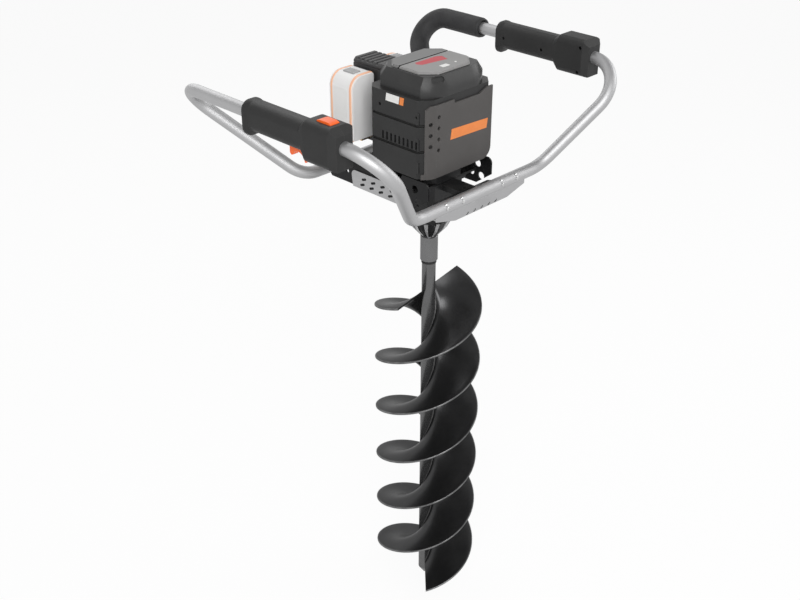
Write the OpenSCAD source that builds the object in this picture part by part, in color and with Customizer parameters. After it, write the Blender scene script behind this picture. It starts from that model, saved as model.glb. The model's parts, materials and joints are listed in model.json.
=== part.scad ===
// Two-hand battery earth auger: bent-tube frame, motor and gear case, two battery packs, double-flight bit.
// Millimetres. +Z is up along the spin axis, the origin is the pilot point's tip, the front faces -Y.

/* [Auger bit] */
// Outside diameter of the flights
bit_d = 200; // [150:5:250]
// Rise of one flight in one full turn
flight_lead = 229; // [180:1:260]
// Height of the flighted length
flight_h = 665; // [500:5:700]
// Thickness of the flight plate
flight_t = 4; // [3:0.5:6]
// Direction of the lower end of the first flight
flight_start = 225; // [0:1:359]
// Outside diameter of the stem
stem_d = 25.4; // [22:0.2:28]
// Height of the pilot point's cone
pilot_h = 18; // [12:1:30]
// Bare stem between the pilot cone and the flights
stem_below = 18; // [10:1:30]
// Bare stem between the flights and the socket
stem_above = 55; // [40:1:90]
// Outside diameter of the socket
socket_d = 32; // [31:0.5:36]
// Height of the socket
socket_h = 51.5; // [45:0.5:70]

/* [Drive train] */
// Diameter of the output spindle in the socket
spindle_d = 20; // [16:0.5:22]
// Diameter of the output spindle in its lower bearing
journal_d = 25; // [24:0.5:28]
// Module of the first gear pair
first_module = 1; // [0.8:0.1:1]
// Teeth of the motor pinion
pinion_teeth = 12; // [11:1:14]
// Teeth of the first gear
first_teeth = 60; // [50:1:62]
// Teeth of the countershaft pinion
second_pinion_teeth = 10; // [9:1:12]
// Teeth of the output gear
output_teeth = 38; // [32:1:40]
// Face width of the output gear
output_w = 16; // [12:1:18]
// Face width of the first gear
first_w = 12; // [8:1:14]

/* [Gear case] */
// Height of the ribbed nose
nose_h = 36; // [32:1:50]
// Radius at the top of the nose
nose_r = 40; // [36:1:42]
// Ribs round the nose
nose_ribs = 12; // [8:1:18]
// Height of the gear case
case_h = 78; // [78:1:90]
// Half width of the gear case
case_hw = 44; // [42:1:48]
// Height of the adapter between chassis floor and housing
adapter_h = 28; // [24:1:40]

/* [Housing] */
// Width of the motor housing
house_w = 172; // [164:1:180]
// Front wall of the housing from the spin axis
house_front = 66; // [62:1:76]
// Back wall of the housing from the spin axis
house_back = 68; // [60:1:74]
// Height of one housing tier
tier_h = 45; // [42:0.5:52]
// Corner cut of the housing in front
house_cut = 17; // [14:1:20]
// Wall of the housing
house_wall = 3; // [2.5:0.5:4]
// Vent slots on each side
vent_count = 9; // [6:1:9]
// Height of a vent slot
vent_h = 14; // [10:1:20]
// Thickness of the front guard
guard_t = 3; // [2:0.5:4]
// Height of the top cover
cover_h = 33; // [28:1:40]
// Thickness of the top panel
panel_t = 4; // [3:0.5:6]

/* [Batteries] */
// Width of a pack
pack_w = 58; // [54:1:70]
// Thickness of a pack
pack_t = 52; // [46:1:60]
// Height of a pack
pack_h = 115; // [106:1:130]
// Half width of the tower between the packs
tower_hw = 28; // [24:1:32]
// Front face of the packs from the spin axis
pack_front = 104; // [98:1:110]

/* [Frame] */
// Outside diameter of the frame tube
tube_d = 22; // [20:0.5:25]
// Wall of the frame tube
tube_wall = 2; // [1.5:0.25:3]
// Distance of each grip's axis from the machine's middle
grip_x = 301; // [280:1:330]
// Height of the grips above the beams
grip_rise = 165; // [140:1:190]
// Front corner of the grip line
grip_front = 202; // [190:1:220]
// Back corner of the grip line
grip_back = 330; // [310:1:350]
// Half length of the front beam between its corners
beam_hx = 161; // [150:1:175]
// Distance of the front beam from the spin axis
beam_front = 112; // [106:1:120]
// Distance of the rear beam from the spin axis
beam_back = 150; // [148:1:160]
// Bend radius at the front of the grips
bend_grip = 60; // [50:1:64]
// Bend radius at the back of the grips
bend_back = 42; // [36:1:50]
// Bend radius at the beam ends
bend_beam = 50; // [40:1:60]
// Outside diameter of the foam sleeve
foam_d = 38; // [34:1:44]

/* [Plates] */
// Thickness of the chassis floor
floor_t = 4; // [3:0.5:6]
// Thickness of the black side rails
rail_t = 3; // [2:0.5:4]
// Thickness of the silver side plates
side_t = 2; // [1.5:0.5:3]
// Radius of the holes in the rail ears
ear_hole_r = 7; // [5:0.5:7.5]
// Pitch circle of the holes in the rail ears
ear_pcd = 27; // [24:0.5:29]

/* [Handles] */
// Width of a grip
grip_w = 38; // [34:1:42]
// Height of a grip
grip_h = 48; // [44:1:52]
// Length of a grip behind the switch box
grip_l = 132; // [124:1:140]
// Width of the switch box
box_w = 50; // [46:1:56]
// Height of the switch box
box_h = 66; // [64:1:72]
// Length of the switch box
box_l = 77; // [72:1:84]
// Width of the trigger
trigger_w = 12; // [10:1:14]

/* [Hidden] */
$fn = 64;
// Running clearance of shafts and pins on the radius
fit = 0.03;
// Clearance between moulded pieces that slide
slide_gap = 0.5;
eps = 0.01;

z_flight = pilot_h + stem_below;
z_flight_top = z_flight + flight_h;
z_socket = z_flight_top + stem_above;
z_socket_top = z_socket + socket_h;
nose_gap = 2.5;
z_nose = z_socket_top + nose_gap;
z_case = z_nose + nose_h;
z_floor = z_case + case_h;
z_adapter = z_floor + floor_t;
z_house = z_adapter + adapter_h;
tiers = 3;
house_h = tiers * tier_h;
z_deck = z_house + house_h;
z_panel = z_deck + cover_h;
house_hw = house_w / 2;

// Gear train places
second_module = first_module * (pinion_teeth + first_teeth) / (second_pinion_teeth + output_teeth);
shaft_y = first_module * (pinion_teeth + first_teeth) / 2;
case_floor = 10;
z_output = z_case + case_floor + 4;
z_mid = z_output + output_w + 4;
mid_t = 8;
z_first = z_mid + mid_t + 5;
cover_plate_t = 10;
z_cover_plate = z_floor - cover_plate_t;
tooth_add = 0.9;
tooth_ded = 1.15;
output_tip = second_module * (output_teeth / 2 + tooth_add);
first_tip = first_module * (first_teeth / 2 + tooth_add);
second_tip = second_module * (second_pinion_teeth / 2 + tooth_add);
cavity_gap = 2;
low_hx = output_tip + cavity_gap;
low_back = shaft_y + second_tip + cavity_gap;
ledge = 2;
mid_hx = max(low_hx, first_tip + cavity_gap) + ledge;
mid_back = max(low_back + ledge, shaft_y + first_tip + cavity_gap);
top_hx = mid_hx + ledge;
top_back = mid_back + ledge;
case_wall = 7;
case_back = top_back + case_wall;

// Bearings: bore radius, outside radius, width
lower_bearing = [journal_d / 2, 23.5, 12];
upper_bearing = [7.5, 17.5, mid_t];
counter_bearing = [4, 11, 7];
motor_bearing = [6, 14, 8];

// Motor places
motor_r = 50;
motor_wall = 4;
motor_h = 86;
stator_h = 50;
z_motor = z_house;
z_stator = z_motor + 14;
rotor_r = 24.5;
air_gap = 1;
stator_teeth = 12;
z_bell = z_motor + motor_h - 8;
z_fan = z_motor + motor_h + 4;
fan_h = 12;

// Frame lines
tube_r = tube_d / 2;
bore_r = tube_r - tube_wall;
beam_z = z_floor + 1;
grip_z = beam_z + grip_rise;
split_y = 45;
rear_hx = beam_hx;
bend_lap = 1;
bend_thin = 0.05;

// Battery places
pack_lift = 21;
z_pack = z_house + pack_lift;
pack_in = tower_hw + 4;
pack_out = pack_in + pack_t;
pack_mid = pack_front + pack_w / 2;
tower_back = pack_front + pack_w - 2;
rail_neck_hw = 14;
rail_head_hw = 20;
rail_lip = 3.5;
rail_head_t = 4;
rail_top = pack_h - 19;
z_tower = z_house + 6;
tower_h = pack_lift + pack_h - 2;

// Handle places
hand_shift = 15;
grip_low = 1;
box_low = 1;
box_front = -20 - box_l;
box_back = -33;
grip_front_y = -18;
grip_back_y = grip_front_y + grip_l;
lip_l = 12;
pivot = [-30, -22];
pivot_r = 2.5;
button_y = -63;
button_l = 30;
button_w = 18;
button_top = 3.5;

// Directions, frames and bent tubes
function unit(v) = v / norm(v);
function across(d) = unit(abs(d[2]) < 0.9 ? cross([0, 0, 1], d) : cross([1, 0, 0], d));
function turn_of(a, b) = acos(a * b);
function steps(path) = [for (i = [0:len(path) - 2]) unit(path[i + 1] - path[i])];
function tangent_len(a, b, r) = r * tan(turn_of(a, b) / 2);

module placed(x, y, z, at) {
    multmatrix([
        [x[0], y[0], z[0], at[0]],
        [x[1], y[1], z[1], at[1]],
        [x[2], y[2], z[2], at[2]],
        [0, 0, 0, 1]])
        children();
}

module along(from, to) {
    d = unit(to - from);
    x = across(d);
    placed(x, cross(d, x), d, from) children();
}

module pipe_run(from, to, r_out, r_in) {
    len = norm(to - from);
    along(from, to) difference() {
        cylinder(r = r_out, h = len);
        translate([0, 0, -1]) cylinder(r = r_in, h = len + 2);
    }
}

// A bend is a hair thinner than the runs and reaches a little way into both of them
module pipe_bend(corner, a, b, r, r_out, r_in) {
    side = unit(b - (a * b) * a);
    centre = corner - a * tangent_len(a, b, r) + side * r;
    placed(-side, a, cross(-side, a), centre)
        rotate(-bend_lap) rotate_extrude(angle = turn_of(a, b) + 2 * bend_lap, $fn = 96) translate([r, 0])
            difference() {
            circle(r = r_out - bend_thin, $fn = 48);
            circle(r = r_in + bend_thin, $fn = 48);
        }
}

module bent_pipe(path, radii, r_out, r_in) {
    d = steps(path);
    last = len(path) - 2;
    for (i = [0:last]) {
        cut_in = i == 0 ? 0 : tangent_len(d[i - 1], d[i], radii[i - 1]);
        cut_out = i == last ? 0 : tangent_len(d[i], d[i + 1], radii[i]);
        pipe_run(path[i] + d[i] * cut_in, path[i + 1] - d[i] * cut_out, r_out, r_in);
    }
    for (i = [0:last - 1])
        pipe_bend(path[i + 1], d[i], d[i + 1], radii[i], r_out, r_in);
}

// Flat outlines
module round_rect(w, h, r) {
    square([w - 2 * r, h], center = true);
    square([w, h - 2 * r], center = true);
    for (x = [-1, 1], y = [-1, 1])
        translate([x * (w / 2 - r), y * (h / 2 - r)]) circle(r = r);
}

module cut_corners(hx, front, back, cut_front, cut_back) {
    polygon([[-hx + cut_front, -front], [hx - cut_front, -front], [hx, -front + cut_front],
        [hx, back - cut_back], [hx - cut_back, back], [-hx + cut_back, back],
        [-hx, back - cut_back], [-hx, -front + cut_front]]);
}

module slot_2d(l, w) {
    square([l - w, w], center = true);
    for (x = [-1, 1]) translate([x * (l - w) / 2, 0]) circle(d = w);
}

module gear_2d(teeth, m, phase) {
    r = teeth * m / 2;
    pitch = 360 / teeth;
    rim = [[r - tooth_ded * m, -0.28], [r, -0.21], [r + tooth_add * m, -0.1],
        [r + tooth_add * m, 0.1], [r, 0.21], [r - tooth_ded * m, 0.28]];
    polygon([for (i = [0:teeth - 1], p = rim)
        let (a = phase + (i + p[1]) * pitch) p[0] * [cos(a), sin(a)]]);
}

module ring(r_in, r_out, h) {
    difference() {
        cylinder(r = r_out, h = h);
        translate([0, 0, -1]) cylinder(r = r_in, h = h + 2);
    }
}

module both_sides() {
    children();
    mirror([1, 0, 0]) children();
}

// Frame
left_front = [-grip_x, -grip_front, grip_z];
right_front = [grip_x, -grip_front, grip_z];
left_back = [-grip_x, grip_back, grip_z];
right_back = [grip_x, grip_back, grip_z];

module front_tube() {
    path = [[-grip_x, split_y, grip_z], left_front, [-beam_hx, -beam_front, beam_z],
        [beam_hx, -beam_front, beam_z], right_front, [grip_x, split_y, grip_z]];
    color("silver") bent_pipe(path, [bend_grip, bend_beam, bend_beam, bend_grip], tube_r, bore_r);
}

module rear_tube() {
    path = [[-grip_x, split_y, grip_z], left_back, [-rear_hx, beam_back, beam_z],
        [rear_hx, beam_back, beam_z], right_back, [grip_x, split_y, grip_z]];
    color("silver") bent_pipe(path, [bend_back, bend_beam, bend_beam, bend_back], tube_r, bore_r);
}

module tube_joiners() {
    joiner_l = 80;
    color("gray") both_sides()
        translate([grip_x, split_y + joiner_l / 2, grip_z]) rotate([90, 0, 0])
            cylinder(r = bore_r - fit, h = joiner_l);
}

z_shelf = beam_z - tube_r - 0.3;
shelf_back = 71;
module front_plate() {
    plate_t = 2;
    plate_y = -beam_front - 7;
    low = 27;
    flat_hx = 66;
    end_hx = 112;
    end_low = 15;
    louvre_step = 18;
    shelf_hx = 70;
    color("silver") difference() {
        translate([0, 0, z_shelf - plate_t]) linear_extrude(plate_t)
            polygon([[-end_hx, plate_y - plate_t / 2], [end_hx, plate_y - plate_t / 2], [end_hx, plate_y + 6],
                [shelf_hx, -shelf_back], [-shelf_hx, -shelf_back], [-end_hx, plate_y + 6]]);
        translate([0, -shelf_back - 8, z_shelf - plate_t - 1]) cylinder(r = 3.2, h = plate_t + 2);
    }
    color("silver") difference() {
        translate([0, plate_y + plate_t / 2, beam_z]) rotate([90, 0, 0]) linear_extrude(plate_t)
            difference() {
            polygon([[-end_hx, -4], [-end_hx, -end_low], [-flat_hx, -low], [flat_hx, -low],
                [end_hx, -end_low], [end_hx, -4]]);
            for (i = [-2:2])
                translate([i * louvre_step, 3 - low]) rotate(35) slot_2d(9, 2.6);
        }
        translate([-end_hx - 1, -beam_front, beam_z]) rotate([0, 90, 0])
            cylinder(r = tube_r + fit, h = 2 * end_hx + 2);
    }
}

floor_front = case_hw;
floor_back = beam_back - tube_r - 3;
rail_in = 78;
floor_bolt_x = 54;
floor_bolt_y = [-20, 66];
ear_clear = 7;

module chassis_floor() {
    color([0.1, 0.1, 0.1]) difference() {
        translate([-rail_in, -floor_front, z_floor]) cube([2 * rail_in, floor_front + floor_back, floor_t]);
        // Clear the ears of the rails
        for (x = [-1, 1])
            translate([x * rail_in - ear_clear, -78, z_floor - 1]) cube([2 * ear_clear, 64, floor_t + 2]);
        translate([0, 0, z_floor - 1]) cylinder(r = 22, h = floor_t + 2);
        for (x = [-1, 1], y = floor_bolt_y)
            translate([x * floor_bolt_x, y, z_floor - 1]) cylinder(r = 3.2, h = floor_t + 2);
        for (x = [-1, 1])
            translate([x * floor_bolt_x, 100, z_floor - 1]) cylinder(r = 12, h = floor_t + 2);
    }
}

ear_y = -39;
ear_z = z_floor - 3.4;
module rail_2d() {
    ear_end = -72;
    ear_top = 27.4;
    ear_r = 10;
    low = 27;
    tail = beam_back + 27;
    back_top = 16;
    difference() {
        union() {
            polygon([[ear_end, ear_top - ear_r - 20], [-39, -low], [tail - 12, -low], [tail, 12 - low],
                [tail, back_top - 12], [tail - 12, back_top], [70, back_top], [58, 4], [4, 4],
                [-12, ear_top], [ear_end + ear_r, ear_top], [ear_end, ear_top - ear_r]]);
            translate([ear_end + ear_r, ear_top - ear_r]) circle(r = ear_r);
        }
        for (a = [98, 218, 338])
            translate([ear_y + ear_pcd / 2 * cos(a), ear_z - z_floor + ear_pcd / 2 * sin(a)])
                circle(r = ear_hole_r);
        translate([beam_back, beam_z - z_floor]) circle(r = tube_r + fit);
        translate([beam_back - 26, -6]) circle(r = 3.5);
    }
}

module rail() {
    color([0.08, 0.08, 0.08])
        translate([rail_in, 0, z_floor]) rotate([90, 0, 90]) linear_extrude(rail_t) rail_2d();
}
module right_rail() { rail(); }
module left_rail() { mirror([1, 0, 0]) rail(); }

module side_plate() {
    plate_front = -24;
    plate_back = 111;
    plate_low = 29;
    plate_top = 2;
    corner_r = 9;
    slot_step = 23;
    color("silver") translate([rail_in + rail_t, 0, z_floor]) rotate([90, 0, 90]) linear_extrude(side_t)
        difference() {
        union() {
            polygon([[plate_front, -plate_low], [plate_back - 3, -plate_low], [plate_back, -corner_r],
                [plate_back - corner_r, plate_top], [plate_front, plate_top]]);
            translate([plate_back - corner_r, plate_top - corner_r]) circle(r = corner_r);
        }
        for (i = [0:3]) translate([80 - i * slot_step, -9]) rotate(-20) slot_2d(12, 4.5);
        for (i = [0:3]) translate([84 - i * slot_step, -20]) rotate(-20) slot_2d(12, 4.5);
    }
}
module right_side_plate() { side_plate(); }
module left_side_plate() { mirror([1, 0, 0]) side_plate(); }

module frame_rivets() {
    color("gainsboro") for (x = [-88, -50, 50, 88], a = [12, 48])
        translate([x, -beam_front, beam_z]) rotate([90 - a, 0, 0]) translate([0, 0, tube_r]) {
            cylinder(r = 2.8, h = 0.8);
            translate([0, 0, 0.8]) cylinder(r1 = 2.8, r2 = 1.4, h = 0.9);
        }
}

// Gear case
module gear_nose() {
    neck_r = 16.5;
    cone_h = 18;
    cone_r = 30.5;
    rib_proud = 2;
    rib_turn = 9;
    seal_r = 17;
    seal_z = 4;
    seal_h = 7;
    body = [[neck_r, 0], [cone_r, cone_h], [nose_r, nose_h], [0, nose_h], [0, 0]];
    rib = [[neck_r, 0], [neck_r + rib_proud, 2], [cone_r + rib_proud, cone_h], [nose_r + rib_proud, nose_h],
        [cone_r - 3, nose_h], [neck_r - 1, 2]];
    color([0.16, 0.16, 0.16]) translate([0, 0, z_nose]) difference() {
        union() {
            rotate_extrude() polygon(body);
            for (i = [0:nose_ribs - 1])
                rotate(i * 360 / nose_ribs) rotate_extrude(angle = rib_turn) polygon(rib);
        }
        translate([0, 0, -1]) cylinder(r = journal_d / 2 + 0.4, h = nose_h + 2);
        translate([0, 0, seal_z]) cylinder(r = seal_r, h = seal_h);
        translate([0, 0, nose_h - lower_bearing[2] - 2]) cylinder(r = lower_bearing[1] + fit, h = nose_h);
    }
}

module spindle_seal() {
    color([0.05, 0.05, 0.05]) translate([0, 0, z_nose + 4]) ring(journal_d / 2 + fit, 17 - fit, 7);
}

module cavity(hx, front, back, z0, z1) {
    translate([-hx, -front, z0]) cube([2 * hx, front + back, z1 - z0]);
}

module gear_case() {
    flange = 10;
    flange_t = 8;
    lug_hx = 18;
    z_upper = z_mid - 5;
    color([0.1, 0.1, 0.1]) difference() {
        union() {
            translate([0, 0, z_case]) cylinder(r = low_hx + case_wall, h = z_upper - z_case + 1);
            translate([0, shaft_y, z_case])
                cylinder(r = counter_bearing[1] + case_wall - 1, h = z_upper - z_case + 1);
            translate([0, 0, z_upper]) linear_extrude(z_floor - z_upper)
                cut_corners(case_hw, case_hw, case_back, 10, 10);
            translate([0, 0, z_floor - flange_t]) linear_extrude(flange_t)
                cut_corners(floor_bolt_x + flange, case_hw - 4, case_back, 16, 16);
            // Lug that rests on the front plate's shelf
            translate([-lug_hx, -shelf_back - 16, z_shelf])
                cube([2 * lug_hx, shelf_back + 17 - case_hw, z_floor - z_shelf]);
        }
        translate([0, -shelf_back - 8, z_shelf - 1]) cylinder(r = 3.2, h = z_floor - z_shelf + 2);
        translate([0, 0, z_case + case_floor]) cylinder(r = low_hx, h = z_mid - z_case);
        translate([0, shaft_y, z_case + case_floor])
            cylinder(r = second_tip + cavity_gap, h = z_mid - z_case);
        cavity(mid_hx, mid_hx, mid_back, z_mid, z_floor + 1);
        cavity(top_hx, top_hx, top_back, z_cover_plate, z_floor + 1);
        translate([0, 0, z_case - 1]) cylinder(r = journal_d / 2 + 1, h = case_floor + 2);
        translate([0, shaft_y, z_case + case_floor - counter_bearing[2]])
            cylinder(r = counter_bearing[1] + fit, h = counter_bearing[2] + 1);
        for (x = [-1, 1], y = floor_bolt_y)
            translate([x * floor_bolt_x, y, z_floor - flange_t - 1]) cylinder(r = 3.2, h = flange_t + 2);
    }
}

module gear_mid_plate() {
    color("dimgray") difference() {
        cavity(mid_hx - 0.1, mid_hx - 0.1, mid_back - 0.1, z_mid, z_mid + mid_t);
        translate([0, 0, z_mid - 1]) cylinder(r = upper_bearing[1] + fit, h = mid_t + 2);
        translate([0, shaft_y, z_mid - 1]) cylinder(r = second_tip + 1, h = mid_t + 2);
    }
}

module gear_cover() {
    color("dimgray") difference() {
        cavity(top_hx - 0.1, top_hx - 0.1, top_back - 0.1, z_cover_plate, z_floor);
        translate([0, 0, z_cover_plate - 1]) cylinder(r = motor_bearing[0] + 1, h = cover_plate_t + 2);
        translate([0, 0, z_cover_plate + 1]) cylinder(r = motor_bearing[1] + fit, h = cover_plate_t);
        translate([0, shaft_y, z_cover_plate - 1])
            cylinder(r = counter_bearing[1] + fit, h = counter_bearing[2] + 1);
    }
}

module motor_adapter() {
    flange_t = 6;
    color([0.11, 0.11, 0.11]) difference() {
        union() {
            translate([0, 0, z_adapter]) linear_extrude(adapter_h)
                cut_corners(case_hw, case_hw, house_back - 1, 14, 10);
            translate([0, 0, z_house - flange_t]) linear_extrude(flange_t)
                cut_corners(house_hw - 10, house_front - 10, house_back - 2, house_cut, 12);
            for (x = [-1, 1], y = [-30, 0, 30])
                translate([x > 0 ? case_hw : -case_hw - 6, y - 2, z_adapter])
                    cube([6, 4, adapter_h - flange_t]);
        }
        translate([0, 0, z_adapter - 1]) cylinder(r = 22, h = adapter_h + 2);
        translate([0, 0, z_adapter + 6]) cylinder(r = 36, h = adapter_h);
    }
}

// Motor
module motor_frame() {
    base_t = 6;
    bell_t = 8;
    color("lightgray") translate([0, 0, z_motor]) difference() {
        cylinder(r = motor_r, h = motor_h);
        translate([0, 0, base_t]) cylinder(r = motor_r - motor_wall, h = motor_h - base_t - bell_t);
        translate([0, 0, -1]) cylinder(r = 22, h = base_t + 2);
        translate([0, 0, motor_h - bell_t - 1]) cylinder(r = motor_bearing[1] + fit, h = bell_t + 2);
        for (a = [0:60:300])
            rotate(a) translate([31, 0, motor_h - bell_t - 1]) cylinder(r = 8, h = bell_t + 2);
        for (a = [30:60:330])
            rotate(a) translate([31, 0, -1]) cylinder(r = 6, h = base_t + 2);
    }
}

module stator_core() {
    yoke_in = 38;
    tooth_w = 8;
    shoe_r = rotor_r + air_gap;
    color("slategray") translate([0, 0, z_stator]) {
        ring(yoke_in, motor_r - motor_wall - fit, stator_h);
        difference() {
            for (i = [0:stator_teeth - 1]) rotate(i * 360 / stator_teeth) {
                translate([shoe_r, -tooth_w / 2, 0]) cube([yoke_in + 2 - shoe_r, tooth_w, stator_h]);
            }
            translate([0, 0, -1]) cylinder(r = shoe_r, h = stator_h + 2);
        }
    }
}

module stator_coils() {
    coil_in = 29;
    coil_out = 37;
    wire_w = 2.6;
    tooth_w = 8;
    end_h = 4;
    color("peru") translate([0, 0, z_stator - end_h]) for (i = [0:stator_teeth - 1])
        rotate(i * 360 / stator_teeth) difference() {
            translate([coil_in, -tooth_w / 2 - wire_w, 0])
                cube([coil_out - coil_in, tooth_w + 2 * wire_w, stator_h + 2 * end_h]);
            translate([coil_in - 1, -tooth_w / 2 - 0.1, end_h - 0.1])
                cube([coil_out - coil_in + 2, tooth_w + 0.2, stator_h + 0.2]);
        }
}

module rotor_core() {
    color("darkslategray") translate([0, 0, z_stator]) difference() {
        ring(motor_bearing[0] + eps, rotor_r, stator_h);
        for (a = [0:45:315])
            rotate(a) translate([15, 0, -1]) cylinder(r = 3, h = stator_h + 2);
    }
}

module motor_shaft() {
    shaft_r = motor_bearing[0] - fit;
    neck_r = first_module * (pinion_teeth / 2 - tooth_ded);
    color("silver") {
        translate([0, 0, z_first]) linear_extrude(first_w + 2) gear_2d(pinion_teeth, first_module, 90);
        translate([0, 0, z_first + first_w + 2])
            cylinder(r = neck_r, h = z_cover_plate - z_first - first_w - 2);
        translate([0, 0, z_cover_plate]) cylinder(r = shaft_r, h = z_fan + fan_h + 2 - z_cover_plate);
    }
}

module cooling_fan() {
    blades = 9;
    fan_r = 44;
    hub_r = 13;
    color([0.15, 0.15, 0.15]) translate([0, 0, z_fan]) {
        ring(motor_bearing[0] + eps, hub_r, fan_h);
        ring(hub_r - 0.5, fan_r, 2);
        for (i = [0:blades - 1])
            rotate(i * 360 / blades) translate([hub_r - 1, -1, 1]) cube([fan_r - hub_r, 2, fan_h - 1]);
    }
}

module motor_bearings() {
    color("lightsteelblue") for (z = [z_cover_plate + 1.5, z_bell])
        translate([0, 0, z]) ring(motor_bearing[0], motor_bearing[1], motor_bearing[2]);
}

// Gears and spindle
module first_gear() {
    web_in = 13;
    web_out = 25;
    color("gray") translate([0, shaft_y, z_first]) difference() {
        linear_extrude(first_w) gear_2d(first_teeth, first_module, -90 + 180 / first_teeth);
        translate([0, 0, -1]) cylinder(r = 6 + eps, h = first_w + 2);
        for (a = [0:60:300])
            rotate(a) translate([(web_in + web_out) / 2, 0, -1]) cylinder(r = 5, h = first_w + 2);
    }
}

module countershaft() {
    journal = counter_bearing[0] - fit;
    low = z_case + case_floor - counter_bearing[2];
    color("silver") translate([0, shaft_y, 0]) {
        translate([0, 0, low]) cylinder(r = journal, h = z_output - low);
        translate([0, 0, z_output]) linear_extrude(output_w) gear_2d(second_pinion_teeth, second_module, -90);
        translate([0, 0, z_output + output_w]) cylinder(r = 6, h = z_first + first_w - z_output - output_w);
        translate([0, 0, z_first + first_w]) cylinder(r = journal, h = z_cover_plate + 6 - z_first - first_w);
    }
}

module counter_bearings() {
    color("lightsteelblue") translate([0, shaft_y, 0])
        for (z = [z_case + case_floor - counter_bearing[2], z_cover_plate - eps])
            translate([0, 0, z]) ring(counter_bearing[0], counter_bearing[1], counter_bearing[2]);
}

module output_gear() {
    color("gray") translate([0, 0, z_output]) difference() {
        linear_extrude(output_w) gear_2d(output_teeth, second_module, 90 + 180 / output_teeth);
        translate([0, 0, -1]) cylinder(r = journal_d / 2 + eps, h = output_w + 2);
        for (a = [0:60:300])
            rotate(a) translate([20, 0, -1]) cylinder(r = 3.5, h = output_w + 2);
    }
}

spindle_low = z_socket + 16;
module output_spindle() {
    color("darkgray") difference() {
        union() {
            translate([0, 0, spindle_low]) cylinder(r = spindle_d / 2, h = z_socket_top - spindle_low);
            translate([0, 0, z_socket_top])
                cylinder(r = journal_d / 2, h = z_output + output_w - z_socket_top);
            translate([0, 0, z_output + output_w]) cylinder(r = upper_bearing[0] - fit, h = mid_t + 5);
        }
        translate([0, 0, spindle_low + 16]) rotate([0, 90, 45])
            cylinder(r = 4.1, h = socket_d, center = true);
    }
}

module spindle_bearings() {
    color("lightsteelblue") {
        translate([0, 0, z_case - lower_bearing[2] - 1])
            ring(lower_bearing[0] + fit, lower_bearing[1], lower_bearing[2]);
        translate([0, 0, z_mid]) ring(upper_bearing[0], upper_bearing[1], upper_bearing[2]);
    }
}

// Auger bit
module bit_socket() {
    rim = 1.6;
    color([0.42, 0.42, 0.42]) difference() {
        translate([0, 0, z_socket]) rotate_extrude() polygon([[0, 0], [socket_d / 2 - 2 * rim, 0],
            [socket_d / 2, 2 * rim], [socket_d / 2, socket_h - rim / 2], [socket_d / 2 - rim / 2,
                socket_h], [0, socket_h]]);
        translate([0, 0, z_socket - 1]) cylinder(r = stem_d / 2 + fit, h = 15);
        translate([0, 0, spindle_low - 3]) cylinder(r = spindle_d / 2 + fit, h = socket_h);
        translate([0, 0, spindle_low + 16]) rotate([0, 90, 45]) cylinder(r = 4 + fit, h = socket_d);
    }
}

module bit_screw() {
    color("dimgray") translate([0, 0, spindle_low + 16]) rotate([0, 90, 45]) difference() {
        translate([0, 0, -spindle_d / 2 + 1]) cylinder(r = 4, h = spindle_d / 2 + socket_d / 2 - 2.5);
        translate([0, 0, socket_d / 2 - 5]) cylinder(d = 4.6, h = 6, $fn = 6);
    }
}

module socket_ring() {
    color([0.04, 0.04, 0.04]) translate([0, 0, z_socket - 3]) ring(stem_d / 2 + fit, stem_d / 2 + 1.2, 3);
}

module bit_stem() {
    wall = 3.5;
    color([0.2, 0.2, 0.2]) translate([0, 0, pilot_h]) difference() {
        cylinder(d = stem_d, h = z_socket + 13 - pilot_h);
        translate([0, 0, 20]) cylinder(r = stem_d / 2 - wall, h = z_socket);
    }
}

module pilot_point() {
    tip_r = 1.2;
    color([0.2, 0.2, 0.2]) cylinder(r1 = tip_r, r2 = stem_d / 2, h = pilot_h);
}

// Corner of one flight: radius r, share s of the height, and face 0 below or 1 above
flight_turn = 360 * flight_h / flight_lead;
function flight_point(start, s, r, face, z_add) =
    let (a = start + flight_turn * s)
    [r * cos(a), r * sin(a), z_flight + (flight_h - flight_t) * s + flight_t * face + z_add];

module flight(start) {
    count = ceil(flight_turn / 7.5);
    radii = [stem_d / 2 + 0.06, (stem_d / 2 + bit_d / 2) / 2, bit_d / 2];
    ring_points = [for (i = [0:count], f = [0, 1], r = radii) flight_point(start, i / count, r, f, 0)];
    // Six points to a ring: three below, three above
    loop = [0, 1, 2, 5, 4, 3];
    sides = [for (i = [0:count - 1], k = [0:5])
        let (p = 6 * i + loop[k], q = 6 * i + loop[(k + 1) % 6])
        each [[p, p + 6, q], [q, p + 6, q + 6]]];
    first_end = [[0, 1, 4], [0, 4, 3], [1, 2, 5], [1, 5, 4]];
    far = 6 * count;
    last_end = [for (t = first_end) [far + t[0], far + t[2], far + t[1]]];
    polyhedron(points = ring_points, faces = concat(sides, first_end, last_end), convexity = 10);
}

module flight_one() { color([0.17, 0.17, 0.17]) flight(flight_start); }
module flight_two() { color([0.17, 0.17, 0.17]) flight(flight_start + 180); }

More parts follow.
